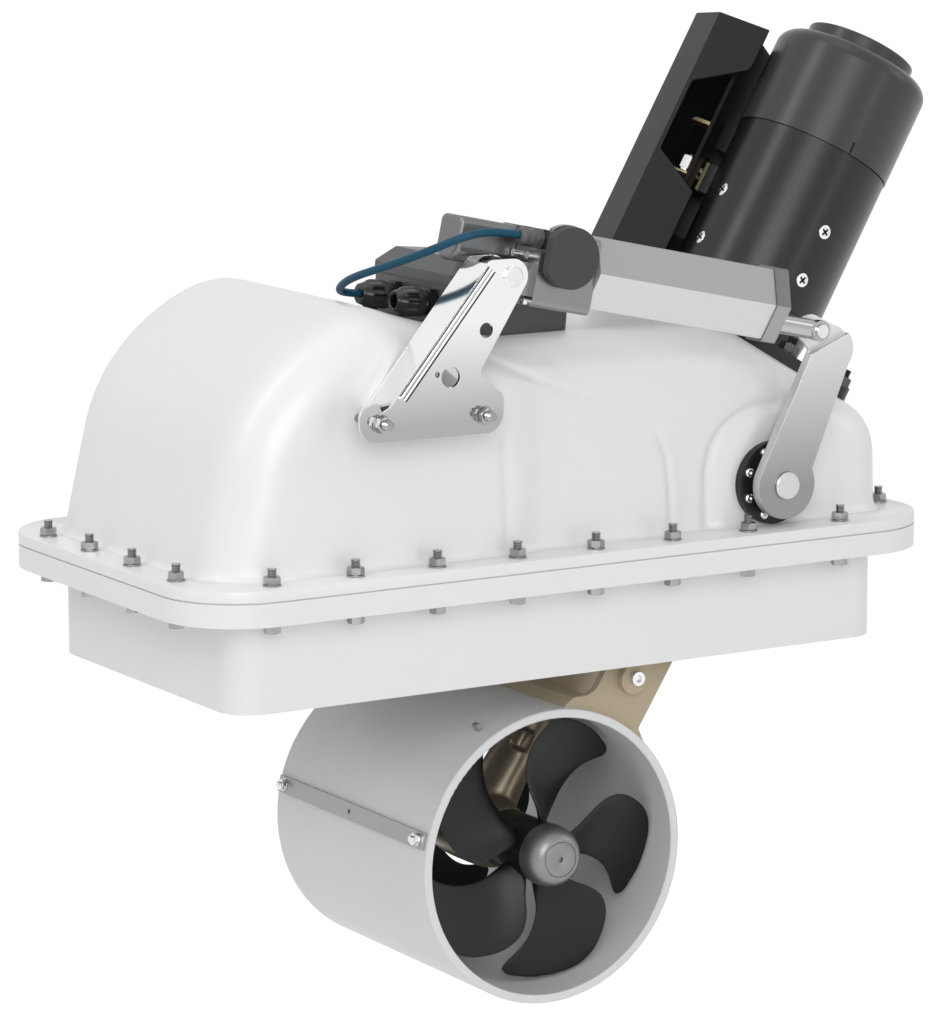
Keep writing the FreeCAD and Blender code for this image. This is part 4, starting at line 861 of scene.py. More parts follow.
@dataclass(frozen=True)
class Hexagon:
    """Hexagon nut or bolt head with chamfered corners, in millimetres."""

    flats: float
    height: float
    bore: float = 0.0
    flat_top: bool = False
    face_share: float = 0.97
    chamfer_slope: float = 0.577
    bore_ease: float = 0.12

    def stations(self, base: float) -> list[Pair | Station]:
        """Profile of the nut from its lower to its upper face."""
        apothem, top = self.flats / 2, base + self.height
        face = apothem * self.face_share

        def chamfer(level: float, slope: float) -> Station:
            """Station on the corners, which are cut back along a cone."""
            cone = hexagonal(apothem, level)
            return lambda angle: (cone(angle)[0], level + (cone(angle)[0] - face) * slope)

        low = [(face, base), chamfer(base, self.chamfer_slope)]
        if self.flat_top:
            return low + [hexagonal(apothem, top)]
        return low + [chamfer(top, -self.chamfer_slope), (face, top)]

    def add(self, shape: Shape, place: Matrix, base: float = 0.0) -> None:
        """Add the nut to a shape, along the Z axis of a frame."""
        rows, top = self.stations(base), base + self.height
        if self.bore > 0:
            wide, ease = self.bore * (1 + self.bore_ease), self.bore * self.bore_ease
            rows += [(wide, top), (self.bore, top - ease), (self.bore, base + ease), (wide, base)]
        shape.lathe(rows, place, 36, bore=self.bore > 0)


def threaded(radius: float, pitch: float, start: float, end: float) -> list[Pair]:
    """Profile of a threaded end, from its root to its chamfered tip.

    Args:
        radius: Outer radius in millimetres.
        pitch: Distance between threads.
        start: Height of the first thread.
        end: Height of the tip.

    Returns:
        Radius and height of each ring.
    """
    root, ease = radius - pitch * 0.55, pitch * 0.4
    rings: list[Pair] = []
    at = start
    while at < end - pitch * 1.2:
        rings += [(root, at), (radius, at + pitch * 0.45), (radius, at + pitch * 0.6)]
        at += pitch
    rings += [(root, at), (radius, at + ease), (radius, end - ease)]
    return rings + [(radius - pitch * 0.5, end), (AXIS, end)]


def flat_ring(radius: float, bore: float, thick: float, base: float) -> list[Pair]:
    """Profile of a plain washer with eased edges."""
    ease, top = min(0.25, thick / 3), base + thick
    outside = [(radius - ease, base), (radius, base + ease), (radius, top - ease)]
    return [(bore, base), *outside, (radius - ease, top), (bore + ease, top), (bore, top - ease)]


@dataclass(frozen=True)
class Stud:
    """Threaded stud with its washer and nut, in millimetres along its axis.

    The shank is radius and height of its rings, the thread is radius, pitch, start and end,
    and the washer is radius, bore and thickness.
    """

    shank: tuple[Pair, ...]
    thread: tuple[float, float, float, float]
    seat: float
    washer: tuple[float, float, float]
    nut: Hexagon
    sides: int = 20
    washer_sides: int = 32

    def add(self, place: Matrix, pins: Shape, washers: Shape, nuts: Shape) -> None:
        """Add the three to their shapes, along the Z axis of a frame."""
        pins.lathe([*self.shank, *threaded(*self.thread)], place, self.sides)
        ring = flat_ring(*self.washer, self.seat)
        washers.lathe(ring, place, self.washer_sides, bore=True)
        self.nut.add(nuts, place, self.seat + self.washer[2])


@dataclass
class FlangeJoint:
    """Bolts, washers and nuts round the housing flange."""

    low: float = 81.5
    head: Hexagon = Hexagon(13.0, 9.0, flat_top=True)
    stud: Stud = Stud(
        ((AXIS, 80.5), (4.0, 80.5), (4.0, 110.5)), (4.0, 1.25, 112.7, 126.9), 112.5,
        (8.0, 4.06, 1.6), Hexagon(13.0, 6.5, 4.06),
    )
    end_x: float = 362.5
    side_y: float = 181.0
    pitch: float = 80.0
    first_x: float = -305.0
    last_x: float = 275.0
    turn: float = 17.0

    def places(self) -> list[Pair]:
        """Plan positions of the bolts."""
        ends = (-self.end_x, self.end_x)
        spots = [(x, y * self.pitch) for x in ends for y in (-1.5, -0.5, 0.5, 1.5)]
        for y in (-self.side_y, self.side_y):
            spots += [(self.first_x + i * self.pitch, y) for i in range(7)] + [(self.last_x, y)]
        return spots

    def build(self) -> None:
        """Build the three sets."""
        bolts, washers, nuts = Shape(), Shape(), Shape()
        for i, (x, y) in enumerate(self.places()):
            place = turned(moved(WORLD, x, y, 0), self.turn * i)
            self.head.add(bolts, place, self.low - self.head.height)
            self.stud.add(place, bolts, washers, nuts)
        for kind, shape in (("bolt", bolts), ("washer", washers), ("nut", nuts)):
            name = "flange_" + kind
            place_piece(name + "_set", shape, Finishes.FASTENER, node=name + "s")


@dataclass
class Housing:
    """White cover and base frame."""

    length: float = 760.0
    width: float = 400.0
    corner: float = 72.0
    corner_steps: int = 14
    low: float = 102.5
    top: float = 112.5
    well: tuple[float, float, float] = (650.0, 300.0, 24.0)
    ease: float = 1.2
    smooth_ramp: float = 9.0
    lean_slope: float = 0.21
    lean_level: float = 160.0
    lean_end: float = -110.0
    lean_full: float = -300.0
    crease_depth: float = 3.0
    crease_width: float = 4.0
    crease_side: float = -130.0
    crease_ends: Pair = (-90.0, 240.0)
    crease_top: float = 295.0
    creases: tuple[tuple[Pair, ...], ...] = (
        (
            (-75.0, 280.5), (-47.8, 268.6), (-17.3, 255.9), (13.4, 243.8), (54.8, 223.8),
            (84.2, 209.9), (96.9, 200.0), (104.1, 183.5), (108.5, 156.4), (110.9, 113.0),
        ),
        ((-73.0, 251.8), (-69.6, 230.1), (-67.5, 195.3), (-65.4, 160.3), (-62.8, 113.0)),
        (
            (149.5, 113.0), (149.0, 161.2), (153.1, 183.2), (164.7, 200.1), (183.8, 212.9),
            (205.1, 219.2), (222.0, 219.0),
        ),
    )

    def row(self, z: float, inset: float | None = None) -> list[Vector]:
        """Rounded rectangle of the flange plate at a height, the well's if no inset is given."""
        length, width, corner = self.well
        if inset is not None:
            length, width = self.length - 2 * inset, self.width - 2 * inset
            corner = self.corner - inset
        points = []
        for quarter, (sx, sy) in enumerate(((1, 1), (-1, 1), (-1, -1), (1, -1))):
            for i in range(self.corner_steps + 1):
                angle = math.radians(90 * quarter + 90 * i / self.corner_steps)
                x = sx * (length / 2 - corner) + corner * math.cos(angle)
                y = sy * (width / 2 - corner) + corner * math.sin(angle)
                points.append(WORLD @ Vector((x, y, z)))
        return points

    def lean(self, at: Vector) -> float:
        """How far the end wall of the dome leans in at a point, in metres."""
        share = clamped((self.lean_end - at.x / MM) / (self.lean_end - self.lean_full))
        rise = max(at.z / MM, self.top) - self.lean_level
        return share * share * (3 - 2 * share) * rise * self.lean_slope * MM

    def crease(self, at: Vector) -> float:
        """How far a point of the dome's lever side is drawn in by the moulded lines, in metres."""
        x, y, z = at / MM
        start, end = self.crease_ends
        if y > self.crease_side or not start < x < end or z > self.crease_top:
            return 0.0
        here, nearest = Vector((x, z)), math.inf
        for line in self.creases:
            for a, b in zip(line, line[1:]):
                run, away = Vector(b) - Vector(a), here - Vector(a)
                share = clamped(away.dot(run) / run.length_squared)
                nearest = min(nearest, (away - run * share).length)
        return self.crease_depth * MM * math.exp(-((nearest / self.crease_width) ** 2))

    def build(self) -> None:
        """Build the cover, its flange, the seal and the base frame."""
        e, small = self.ease, self.ease * 0.3
        rows = [self.row(self.low), self.row(self.low, small), self.row(self.low + small, 0)]
        rows += [self.row(self.top - e, 0), self.row(self.top - small, small)]
        rows += [self.row(self.top, e), self.row(self.top)]
        plate = Shape().grid(rows, True)
        place_piece("cover_flange", plate, Finishes.GELCOAT)
        foot, ramp = (self.top + 0.5) * MM, self.smooth_ramp * MM
        voxel, rounds = ((3.2, 16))
        cut = (self.top + 0.1) * MM
        dome = remade("housing_cover", voxel, rounds, lambda p: clamped((p.z - foot) / ramp), cut)
        for vert in dome.vertices:
            vert.co.x += self.lean(vert.co)
            vert.co.y += self.crease(vert.co)
        place_piece("cover_dome", dome, Finishes.GELCOAT, node="housing_cover", crease=80.0)
        eased(Body.HOUSING, "base_frame", "base_skirt", 1.0, Finishes.GELCOAT)
        eased(Body.HOUSING, "flange_seal", "flange_sealant", 0.2, Finishes.SEALANT)


@dataclass
class Pivots:
    """Bearing flanges, screws, stub axles, collar and lever of the swing."""

    screw_circle: float = 30.0
    screw_count: int = 8
    face: float = 167.0
    socket: float = 1.45
    dome: tuple[Pair, ...] = (
        (AXIS, -12.0), (2.5, -12.0), (2.5, 0.0), (4.4, 0.0), (4.4, 0.9), (4.0, 1.9), (3.0, 2.6),
    )

    def screws(self) -> Shape:
        """Domed socket screws of both flanges."""
        shape = Shape()
        socket = [hexagonal(self.socket, 2.6), hexagonal(self.socket, 1.0), (AXIS, 0.7)]
        for side in (-1, 1):
            for i in range(self.screw_count):
                angle = math.radians((i + 0.5) * 360 / self.screw_count)
                x = PIVOT[0] + self.screw_circle * math.cos(angle)
                z = PIVOT[2] + self.screw_circle * math.sin(angle)
                place = aimed(WORLD, (x, side * self.face, z), (0, side, 0))
                shape.lathe([*self.dome, *socket], place, 24)
        return shape

    def build(self) -> None:
        """Build the pivot pieces."""
        for node in ("front_pivot_flange", "rear_pivot_flange"):
            eased(Body.HOUSING, node, node + "_eased", 1.0, Finishes.FLANGE_BLACK)
        place_piece("pivot_screw_set", self.screws(), Finishes.SCREW, node="pivot_screws")
        eased(Body.LEG, "lever", "swing_lever", 0.5, Finishes.LEVER)
        wear(Finishes.AXLE, "front_axle", "rear_axle", "axle_collar")


@dataclass
class MotorGroup:
    """Motor, its plate and studs, the side cover and what is under it."""

    radius: float = 73.0
    stud: Stud = Stud(
        ((AXIS, 100.0), (5.0, 100.0)), (5.0, 1.5, 106.0, 135.0), 118.0,
        (10.0, 4.6, 2.0), Hexagon(16.0, 8.0, 4.6),
    )
    stud_turn: float = 25.0
    terminal: Stud = Stud(
        ((AXIS, 236.0), (3.5, 236.0), (3.5, 257.5)), (4.0, 1.25, 257.6, 266.0), 249.0,
        (8.6, 3.52, 2.0), Hexagon(14.0, 13.0, 4.1),
    )
    terminal_x: float = -99.3
    head: tuple[Pair, ...] = (
        (AXIS, -1.0), (6.3, -1.0), (6.3, 0.55), (6.0, 0.75), (3.0, 0.9), (AXIS, 0.92),
    )
    head_turn: float = 65.0
    slot: Point = (3.9, 0.95, 0.96)

    def studs(self) -> Shape:
        """Studs of the motor plate with washer and nut."""
        shape = Shape()
        for i, (u, v) in enumerate((u, v) for v in (-100, 100) for u in (-68, 0, 68)):
            self.stud.add(turned(moved(MOTOR, u, v, 0), self.stud_turn * i), shape, shape, shape)
        return shape

    def screws(self) -> None:
        """Domed cross slot screws in the can, and black crosses that paint the shade inside their
        slots.
        """
        heads, crosses = Shape(), Shape()
        for height in (190.0, 239.0):
            for turn in (-90, -180, 90, 0):
                out = aimed(turned(MOTOR, turn), (self.radius - 0.5, 0, height), (1, 0, 0))
                out = turned(out, self.head_turn)
                heads.lathe(self.head, out, 40)
                # Black bars that paint the shade of the cross slot.
                for bar in (out, turned(out, 90.0)):
                    crosses.bar(bar, *self.slot)
        place_piece("motor_screw_set", heads, Finishes.SCREW, node="motor_screws")
        # The black crosses paint the shade inside the screws' cross slots.
        place_piece("slot_painted_shade", crosses, Finishes.INNER_BLACK)

    def terminals(self) -> None:
        """Threaded terminal pins and their nuts."""
        pins, nuts = Shape(), Shape()
        for y in (-20, 20):
            self.terminal.add(moved(SIDE, self.terminal_x, y, 0), pins, nuts, nuts)
        place_piece("terminal_pins", pins, Finishes.FASTENER, node="power_terminals")
        place_piece("terminal_nut_set", nuts, Finishes.SCREW, node="terminal_nuts")

    def build(self) -> None:
        """Build the motor group."""
        for row in (
            ("motor_flange", "motor_plate", 1.0, Finishes.MOTOR_BLACK),
            ("motor_body", "motor_can", 0.5, Finishes.MOTOR_BLACK),
            ("motor_cap", "motor_top", 0.6, Finishes.CAP_GREY),
        ):
            eased(Body.HOUSING, *row)
        self.screws()
        place_piece("motor_stud_set", self.studs(), Finishes.DARK_STUD, node="motor_studs")
        for row in (
            ("motor_side_cover", "side_cover", 0.5, Finishes.COVER_GREY),
            ("contactor_plate", "contactor_plate_eased", 0.4, Finishes.INNER_BLACK),
            ("contactor", "contactor_block", 1.0, Finishes.INNER_BLACK),
            ("cover_spacers", "brass_spacers", 0.4, Finishes.BRASS),
            ("bus_bars", "brass_bars", 0.4, Finishes.BRASS),
        ):
            eased(Body.HOUSING, *row)
        wear(Finishes.FLANGE_BLACK, "shaft_seal_housing")
        self.terminals()


@dataclass
class Bracket:
    """Polished channel that holds the actuator, with its pin and studs."""

    face: float = -203.0
    web_top: Pair = (-105.0, 373.5)
    web_turn: float = 130.13
    stud: Stud = Stud(
        ((AXIS, -43.0), (4.0, -43.0)), (4.0, 1.25, 0.0, 16.0), 0.0,
        (8.0, 3.9, 1.6), Hexagon(13.0, 6.5, 3.9),
    )
    spots: tuple[Pair, ...] = ((-213.0, 243.5), (-113.0, 243.0))
    turns: Pair = (11.0, 42.0)
    rolls: Pair = (2.7, 6.5)
    roll_radius: float = 1.5
    roll_path: tuple[float, ...] = (6.0, 40.0, 80.0, 120.0, 141.0)
    # Across and height of the dark strips of painted shade between the ridges.
    shade_strips: tuple[Pair, ...] = ((0.9, 0.35), (4.6, 0.4), (8.4, 0.3))
    shade_middle: float = 73.5
    shade_half: float = 67.5
    inner: float = -166.0
    thick: Pair = (0.1, 2.9)

    def ridges(self) -> None:
        """Foot of the folded side, and two rolled ridges along its fold with dark strips of painted
        shade between.
        """
        web = local_frame(self.web_top[0], 0.0, self.web_top[1], self.web_turn)
        rolls, shade = Shape(), Shape()
        for across in self.rolls:
            path = [web @ Vector((x, self.face - 0.9, across)) for x in self.roll_path]
            rolls.tube(path, self.roll_radius * MM, 20)
        # Dark bars that paint the shade between the rolled ridges.
        for across, height in self.shade_strips:
            place = moved(web, self.shade_middle, self.face - 1.3, across)
            shade.bar(place, self.shade_half, 1.0, height)
        fold, inner = self.face, self.inner
        outline = ((88.0, inner), (143.5, fold), (148.0, fold + 3), (160.0, inner))
        foot = Shape().grid([[web @ Vector((x, y, z)) for x, y in outline] for z in self.thick])
        for name, shape, finish in (
            ("web_foot", foot, Finishes.MIRROR),
            ("fold_ridges", rolls, Finishes.SCREW),
            # fold_shade: the dark bars of painted shade, in the studs' black finish.
            ("fold_shade", shade, Finishes.DARK_STUD),
        ):
            place_piece(name, shape, finish)

    def build(self) -> None:
        """Build the bracket."""
        self.ridges()
        eased(Body.HOUSING, "actuator_bracket", "polished_bracket", 0.5, Finishes.MIRROR, 3)
        eased(Body.HOUSING, "bracket_pin", "clevis_pin", 0.3, Finishes.SCREW)
        shape = Shape()
        for (x, z), turn in zip(self.spots, self.turns):
            place = turned(aimed(WORLD, (x, self.face, z), (0, -1, 0)), turn)
            self.stud.add(place, shape, shape, shape)
        place_piece("bracket_stud_set", shape, Finishes.FASTENER, node="bracket_studs")


@dataclass
class Controls:
    """Control box with its lid and its cable glands."""

    gland_height: float = 18.8
    gland_places: tuple[Pair, ...] = ((-16.0, 3.55), (-75.0, 6.0))
    neck: tuple[Pair, ...] = ((AXIS, 8.0), (10.5, 8.0), (10.5, 14.0), (AXIS, 14.0))
    ribs: int = 8

    def rib(self, angle: float) -> float:
        """How far the ribs of a dome nut rise at an angle, from 0 to 1."""
        return (0.5 + 0.5 * math.cos(self.ribs * angle)) ** 0.7

    def gland(self, shape: Shape, y: float, bore: float) -> None:
        """One cable gland: lock nut, hexagon body and ribbed dome nut."""
        place = aimed(CONTROL_BOX, (0, y, self.gland_height), (-1, 0, 0))
        Hexagon(24.0, 9.0).add(shape, place)
        shape.lathe(self.neck, place, 40)
        Hexagon(24.0, 7.0).add(shape, place, 13.0)

        def ribbed(radius: float, height: float, depth: float) -> Station:
            """Station whose radius rises at each rib."""
            return lambda angle: (radius + depth * self.rib(angle), height)

        dome = [(AXIS, 19.5), (11.6, 19.5), ribbed(11.6, 20.2, 1.6), ribbed(11.4, 30.0, 1.6)]
        dome += [ribbed(10.9, 32.5, 1.1), (10.2, 35.0), (9.4, 38.0), (8.8, 39.3), (8.0, 39.5)]
        dome += [(bore + 1.0, 39.5), (bore, 38.6), (bore, 31.0), (AXIS, 31.0)]
        shape.lathe(dome, place, 96)

    def build(self) -> None:
        """Build the control box pieces."""
        eased(Body.HOUSING, "control_box", "box_body", 1.0, Finishes.BOX_GREY)
        eased(Body.HOUSING, "control_box_lid", "box_lid", 1.5, Finishes.BOX_GREY, 3)
        shape = Shape()
        for y, bore in self.gland_places:
            self.gland(shape, y, bore)
        place_piece("ribbed_glands", shape, Finishes.GLAND_BLACK, node="cable_glands")


@dataclass
class SignalCable:
    """Blue cable from the actuator's strain relief to a gland."""

    diameter: float = 0.007
    length: float = 0.263
    route: tuple[Point, ...] = (
        (-0.06672, -0.185, 0.39058),
        (-0.09213, -0.185, 0.39608),
        (-0.1192, -0.179, 0.3913),
        (-0.1383, -0.152, 0.3770),
        (-0.1514, -0.106, 0.3607),
        (-0.1605, -0.062, 0.3469),
        (-0.1548, -0.031, 0.3343),
        (-0.14144, -0.016, 0.32753),
        (-0.11755, -0.016, 0.32523),
    )

    def path(self) -> list[Vector]:
        """Points read from the NURBS spline of the route."""
        curve = bpy.data.curves.new("cable route", "CURVE")
        curve.dimensions = "3D"
        spline = curve.splines.new("NURBS")
        spline.points.add(len(self.route) - 1)
        for point, at in zip(spline.points, self.route):
            point.co = (*at, 1.0)
        spline.order_u = 3
        spline.use_endpoint_u = True
        curve.resolution_u = 14
        holder = bpy.data.objects.new("cable route", curve)
        line = bpy.data.meshes.new_from_object(holder)
        points = [v.co.copy() for v in line.vertices]
        bpy.data.objects.remove(holder)
        return points

    def build(self) -> None:
        """Build the cable, which rides on no body."""
        points = self.path()
        tube = Shape().tube(points, self.diameter / 2, 20)
        cable = place_piece(
            "signal_lead", tube, Finishes.CABLE_BLUE, node="signal_cable", crease=60.0, rides=False
        )
        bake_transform(cable)


@dataclass
class LinearActuator:
    """Gear housing, motor, six sided tube and rod of the actuator."""

    relief_place: Point = (31, -185, 35.5)
    sleeve: tuple[Pair, ...] = (
        (AXIS, 6.0), (7.5, 6.0), (7.5, 12.0), (7.2, 12.6), (7.5, 13.2), (7.5, 18.5), (6.9, 20.0),
        (5.2, 21.0), (3.7, 21.0), (3.55, 20.6), (3.55, 17.0), (AXIS, 17.0),
    )

    def relief(self) -> Shape:
        """Strain relief with its hexagon collar and a ringed sleeve."""
        shape = Shape()
        place = aimed(ACTUATOR, self.relief_place, (-1, 0, 0))
        Hexagon(17.0, 7.0).add(shape, place)
        return shape.lathe(self.sleeve, place, 40)

    def build(self) -> None:
        """Build the actuator."""
        for row in (
            ("actuator_gear_housing", "gear_casting", 1.5, Finishes.CASTING, 3),
            ("actuator_side_cap", "side_cap", 1.0, Finishes.SIDE_CAP),
            ("actuator_motor_tube", "drive_motor_shell", 1.0, Finishes.MOTOR_TUBE),
            ("actuator_tube", "six_sided_tube", 0.4, Finishes.TUBE),
            ("actuator_end_cap", "tube_end_cap", 0.8, Finishes.END_CAP),
            ("actuator_screws", "housing_screws", 0.3, Finishes.SCREW),
        ):
            eased(Body.ACTUATOR, *row)
        place_piece("lead_relief", self.relief(), Finishes.RELIEF, Body.ACTUATOR, "cable_relief")
        eased(Body.ROD, "actuator_rod", "push_rod", 0.4, Finishes.ROD)
        eased(Body.ROD, "rod_end_pin", "rod_pin", 0.4, Finishes.SCREW)


@dataclass
class SwingLeg:
    """Arms, cradle, column, tunnel and gear leg."""

    strap_turn: float = 90.0 - 167.0
    stud: Stud = Stud(
        ((AXIS, 136.0), (2.9, 136.0)), (3.0, 1.0, 140.0, 144.0), 136.0,
        (6.0, 2.8, 1.2), Hexagon(10.0, 3.8, 2.9), sides=18, washer_sides=28,
    )
    stud_y: float = 118.5
    stud_turns: Pair = (14.0, 34.0)

    def strap_nuts(self) -> Shape:
        """Stud ends, nuts and washers of the flat bar."""
        shape = Shape()
        x, _, z = TUNNEL_CENTRE
        flank = local_frame(x / MM, 0, z / MM, self.strap_turn)
        for y, turn in zip((-self.stud_y, self.stud_y), self.stud_turns):
            self.stud.add(turned(moved(flank, 0, y, 0), turn), shape, shape, shape)
        return shape

    def build(self) -> None:
        """Build the leg."""
        for row in (
            ("swing_arms", "leg_arms", 1.0, Finishes.BEIGE),
            ("arm_bolts", "arm_bolt_set", 0.4, Finishes.SCREW),
            ("cradle", "tunnel_cradle", 1.2, Finishes.BEIGE),
            ("leg_column", "drive_column", 1.0, Finishes.BEIGE),
            ("tunnel", "round_tunnel", 0.4, Finishes.TUNNEL),
            ("tunnel_strap", "flank_bar", 0.4, Finishes.STRAP),
        ):
            eased(Body.LEG, *row)
        place_piece("strap_nut_set", self.strap_nuts(), Finishes.SCREW, Body.LEG, "strap_bolts")
        eased(Body.LEG, "tunnel_tab", "flank_tab", 0.3, Finishes.STRAP)
        voxel, rounds = ((1.6, 8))
        casting = remade("gear_leg", voxel, rounds, lambda p: 1.0)
        place_piece("bronze_leg", casting, Finishes.BRONZE, Body.LEG, "gear_leg", crease=70.0)


@dataclass
class Propeller:
    """Five bladed propeller with its spinner, on one end of the gear leg.

    The lines of a blade's edges and the profiles are radius and height in millimetres.
    """

    side: int
    body: Body
    nodes: tuple[str, str, str]
    pitch: float = 170.0
    plane: float = 101.0
    blades: int = 5
    first: float = 72.0
    lead: tuple[Pair, ...] = (
        (22, 6), (30, 13), (38, 20.5), (48, 32), (60, 41), (74, 44), (88, 41.5), (102, 34),
        (113, 24), (119, 12), (120.7, -1), (119.3, -16), (115, -33), (109.5, -45), (104.5, -54),
        (99.5, -58.5),
    )
    trail: tuple[Pair, ...] = (
        (22, -7), (37, -9.5), (52, -12), (62, -15.5), (72, -21.5), (80, -29), (86, -38),
        (91, -48.5), (95, -56), (99.5, -58.5),
    )
    rows: int = 56
    across: int = 18
    cup: float = 2.4
    thick_root: float = 7.0
    thick_drop: float = 4.6
    thick_edge: float = 0.5
    hub: tuple[Pair, ...] = (
        (8.05, 50.5), (22.0, 50.5), (25.5, 51.5), (27.0, 54.0), (27.0, 84.0), (26.4, 84.5),
        (26.4, 85.5), (27.0, 86.0), (27.0, 115.5), (26.3, 117.6), (25.0, 118.0), (8.05, 118.0),
    )
    nose: tuple[Pair, ...] = (
        (AXIS, 118.05), (8.0, 118.05), (26.8, 118.05), (28.0, 119.0), (28.0, 124.0), (27.7, 128.0),
        (26.8, 132.0), (25.4, 135.5), (23.6, 138.4), (21.3, 141.0), (18.8, 142.8), (17.0, 143.5),
        (16.3, 143.5), (16.0, 142.9), (15.6, 142.9), (15.3, 143.6), (14.6, 144.0), (3.4, 144.0),
        (3.0, 143.6), (2.4, 143.6), (2.2, 143.2), (2.2, 141.0), (AXIS, 140.6),
    )

    @staticmethod
    def spread_along(points: Sequence[Pair], count: int) -> list[Vector]:
        """Evenly spread points on a smooth line through given ones.

        Args:
            points: Points of the line.
            count: How many points are wanted.

        Returns:
            The points, from the first given one to the last.
        """
        dense = []
        padded = [Vector(p) for p in (points[0], *points, points[-1])]
        for a, b, c, d in zip(padded, padded[1:], padded[2:], padded[3:]):
            for t in (i / 12 for i in range(12)):
                part = b * 2 + (c - a) * t + (a * 2 - b * 5 + c * 4 - d) * t * t
                dense.append((part + (b * 3 - a - c * 3 + d) * t ** 3) * 0.5)
        dense.append(padded[-1])
        lengths = [0.0]
        for p, q in zip(dense, dense[1:]):
            lengths.append(lengths[-1] + (q - p).length)
        result, k = [], 0
        for i in range(count):
            target = lengths[-1] * i / (count - 1)
            while k < len(dense) - 2 and lengths[k + 1] < target:
                k += 1
            share = (target - lengths[k]) / max(lengths[k + 1] - lengths[k], 1e-9)
            result.append(dense[k].lerp(dense[k + 1], min(share, 1.0)))
        return result

    def thickness(self, radius: float, share: float) -> float:
        """Thickness in millimetres at a radius and a share of the way across."""
        widest = self.thick_root - self.thick_drop * clamped((radius - 22) / 95) ** 0.7
        full = max(0.0, 1 - abs(2 * share - 1) ** 2.4) ** 0.6
        return self.thick_edge + (widest - self.thick_edge) * full

    def blade(self, shape: Shape, place: Matrix) -> None:
        """Add one blade with its faces wrapped on the helix of its pitch."""
        lead, trail = (self.spread_along(line, self.rows) for line in (self.lead, self.trail))
        rows = []
        for k in range(self.rows - 1):
            front, back = [], []
            tip = min(1.0, 0.25 + 6 * (1 - k / (self.rows - 1)))
            for j in range(self.across + 1):
                share = 0.5 - 0.5 * math.cos(math.pi * j / self.across)
                radius, z = trail[k].lerp(lead[k], share)
                slope = self.pitch / (2 * math.pi * radius)
                half = self.thickness(radius, share) / 2 * tip
                size = math.hypot(1, slope)
                cup = self.cup * math.sin(math.pi * share) * (lead[k] - trail[k]).length / 60
                middle = Vector((radius, -z * slope + cup, z))
                offset = Vector((0, half / size, half * slope / size))
                front.append(middle - offset)
                back.append(middle + offset)
            ring = front + back[::-1]
            if self.side > 0:
                ring = [Vector((p.x, p.y, -p.z)) for p in ring]
            rows.append([place @ p for p in ring])
        shape.grid(rows)

    def build(self) -> None:
        """Build the propeller and its spinner."""
        screw, spinner, drive = self.nodes
        shape = Shape()
        for i in range(self.blades):
            angle = self.first + 360 / self.blades * i + LEG_TILT
            turn = Matrix.Rotation(math.radians(-angle), 4, "Y")
            self.blade(shape, moved(TUNNEL_AXIS @ turn, 0, self.side * self.plane, 0))
        out = aimed(TUNNEL_AXIS, (0, 0, 0), (0, self.side, 0))
        shape.lathe(self.hub, out, 72, bore=True)
        cap = Shape().lathe(self.nose, out, 72)
        place_piece(screw + "_fine", shape, Finishes.BLADE, self.body, screw, crease=48.0)
        place_piece(spinner + "_fine", cap, Finishes.SPINNER, self.body, spinner, crease=50.0)
        wear(Finishes.HIDDEN_STEEL, drive)


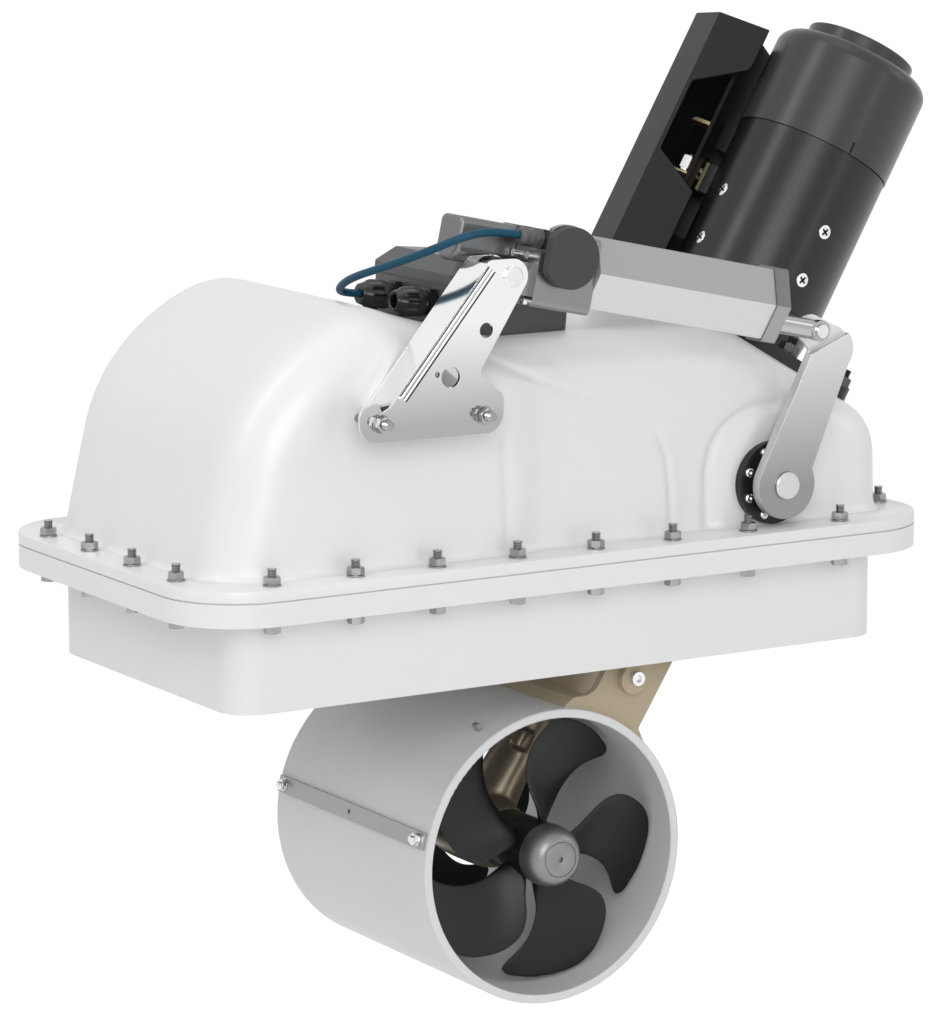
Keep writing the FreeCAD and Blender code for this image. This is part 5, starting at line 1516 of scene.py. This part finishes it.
@dataclass
class Studio:
    """Camera, floor, world and lamps.

    A lamp has its name, place, target, size and power. A strip has its name, place, width,
    height and power, and stands along the motor's can.
    """

    camera_place: Point = (-2.0804, -3.3993, 0.8340)
    azimuth: float = -31.48
    elevation: float = 10.18
    lens: float = 158.76
    sensor: float = 36.0
    view_end: float = 200.0
    floor_height: float = -0.62
    floor_radius: float = 45.0
    floor_glow: float = 0.62
    fill: float = 0.45
    lamps: tuple[tuple[str, Point, Point, float, float], ...] = (
        ("front lamp", (-1.9, -3.5, 1.6), (0.0, 0.0, 0.1), 2.6, 62.0),
        ("left lamp", (-3.4, -0.6, 1.9), (0.0, 0.0, 0.1), 2.4, 2.0),
        ("right lamp", (3.2, -1.8, 1.6), (0.1, 0.0, 0.1), 1.6, 8.0),
        ("top lamp", (0.0, -0.4, 3.5), (0.0, 0.0, 0.1), 2.4, 12.0),
    )
    strips: tuple[tuple[str, Point, float, float, float], ...] = (
        ("left strip", (-1.95, 0.02, 2.3), 0.45, 2.2, 16.0),
        ("right strip", (1.22, -3.06, 0.5), 0.16, 1.8, 4.0),
    )
    can_middle: Point = (0.0, 0.0, 220.0)

    def camera(self) -> None:
        """Camera at the photograph's angle."""
        a, e = math.radians(self.azimuth), math.radians(self.elevation)
        back = Vector((math.sin(a) * math.cos(e), -math.cos(a) * math.cos(e), math.sin(e)))
        data = bpy.data.cameras.new("camera")
        data.lens = self.lens
        data.sensor_width = self.sensor
        data.clip_end = self.view_end
        item = linked("camera", data)
        item.location = self.camera_place
        item.rotation_euler = (-back).to_track_quat("-Z", "Y").to_euler()
        bpy.context.scene.camera = item

    def floor(self) -> None:
        """Pale floor that shows as white and keeps a soft shadow."""
        work = bmesh.new()
        bmesh.ops.create_circle(work, cap_ends=True, segments=96, radius=self.floor_radius)
        mesh = settled(work, bpy.data.meshes.new("floor"))
        item = linked("floor", mesh)
        item.location = (0, 0, self.floor_height)
        material = bpy.data.materials.new("pale floor")
        material.use_nodes = True
        w = Wiring(material.node_tree)
        tone = w.spread(w.noise(w.place(), 3.0, 2.0), 0.78, 0.8)
        w.fill(
            material.node_tree.nodes["Principled BSDF"],
            Roughness=0.9,
            Emission_Color=WHITE_LIGHT,
            Base_Color=w.node("CombineColor", {}, Red=tone, Green=tone, Blue=tone).outputs[0],
            Emission_Strength=w.times(w.seen(), self.floor_glow),
        )
        mesh.materials.append(material)

    def world(self) -> None:
        """World that is white for camera, glossy and transmitted rays, and a fill for the rest."""
        world = bpy.data.worlds.new("studio")
        world.use_nodes = True
        w = Wiring(world.node_tree)
        strength = w.spread(w.seen(), self.fill, 1.0)
        back = world.node_tree.nodes["Background"]
        w.fill(back, Color=WHITE_LIGHT, Strength=strength)
        bpy.context.scene.world = world

    def lamp(self, name: str, at: Point, shape: str, size: float, power: float) -> bpy.types.Object:
        """Area lamp at a point."""
        data = bpy.data.lights.new(name, "AREA")
        data.shape = shape
        data.size = size
        data.energy = power
        item = linked(name, data)
        item.location = at
        return item

    def build(self) -> None:
        """Build the studio."""
        bpy.context.scene.view_settings.view_transform = "Standard"
        self.camera()
        self.floor()
        self.world()
        for name, at, towards, size, power in self.lamps:
            item = self.lamp(name, at, "DISK", size, power)
            aim = Vector(towards) - Vector(at)
            item.rotation_euler = aim.to_track_quat("-Z", "Y").to_euler()
        can, along = MOTOR @ Vector(self.can_middle), Vector(direction(MOTOR, (0.0, 0.0, 1.0)))
        for name, at, wide, tall, power in self.strips:
            item = self.lamp(name, at, "RECTANGLE", wide, power)
            item.data.size_y = tall
            back = (Vector(at) - can).normalized()
            up = (along - back * along.dot(back)).normalized()
            turn = Matrix((up.cross(back), up, back)).transposed().to_4x4()
            item.matrix_world = Matrix.Translation(Vector(at)) @ turn


def main() -> None:
    """Build the scene in order."""
    Studio().build()
    SignalCable().build()
    Housing().build()
    FlangeJoint().build()
    Pivots().build()
    MotorGroup().build()
    Bracket().build()
    Controls().build()
    LinearActuator().build()
    SwingLeg().build()
    for side, body, end in ((-1, Body.FRONT_PROPELLER, "front"), (1, Body.REAR_PROPELLER, "rear")):
        Propeller(side, body, ("propeller_" + end, "spinner_" + end, "prop_drive_" + end)).build()
    wear(Finishes.HIDDEN_STEEL, "motor_shaft", "joint_ball", "leg_shaft")


if __name__ == "__main__":
    main()
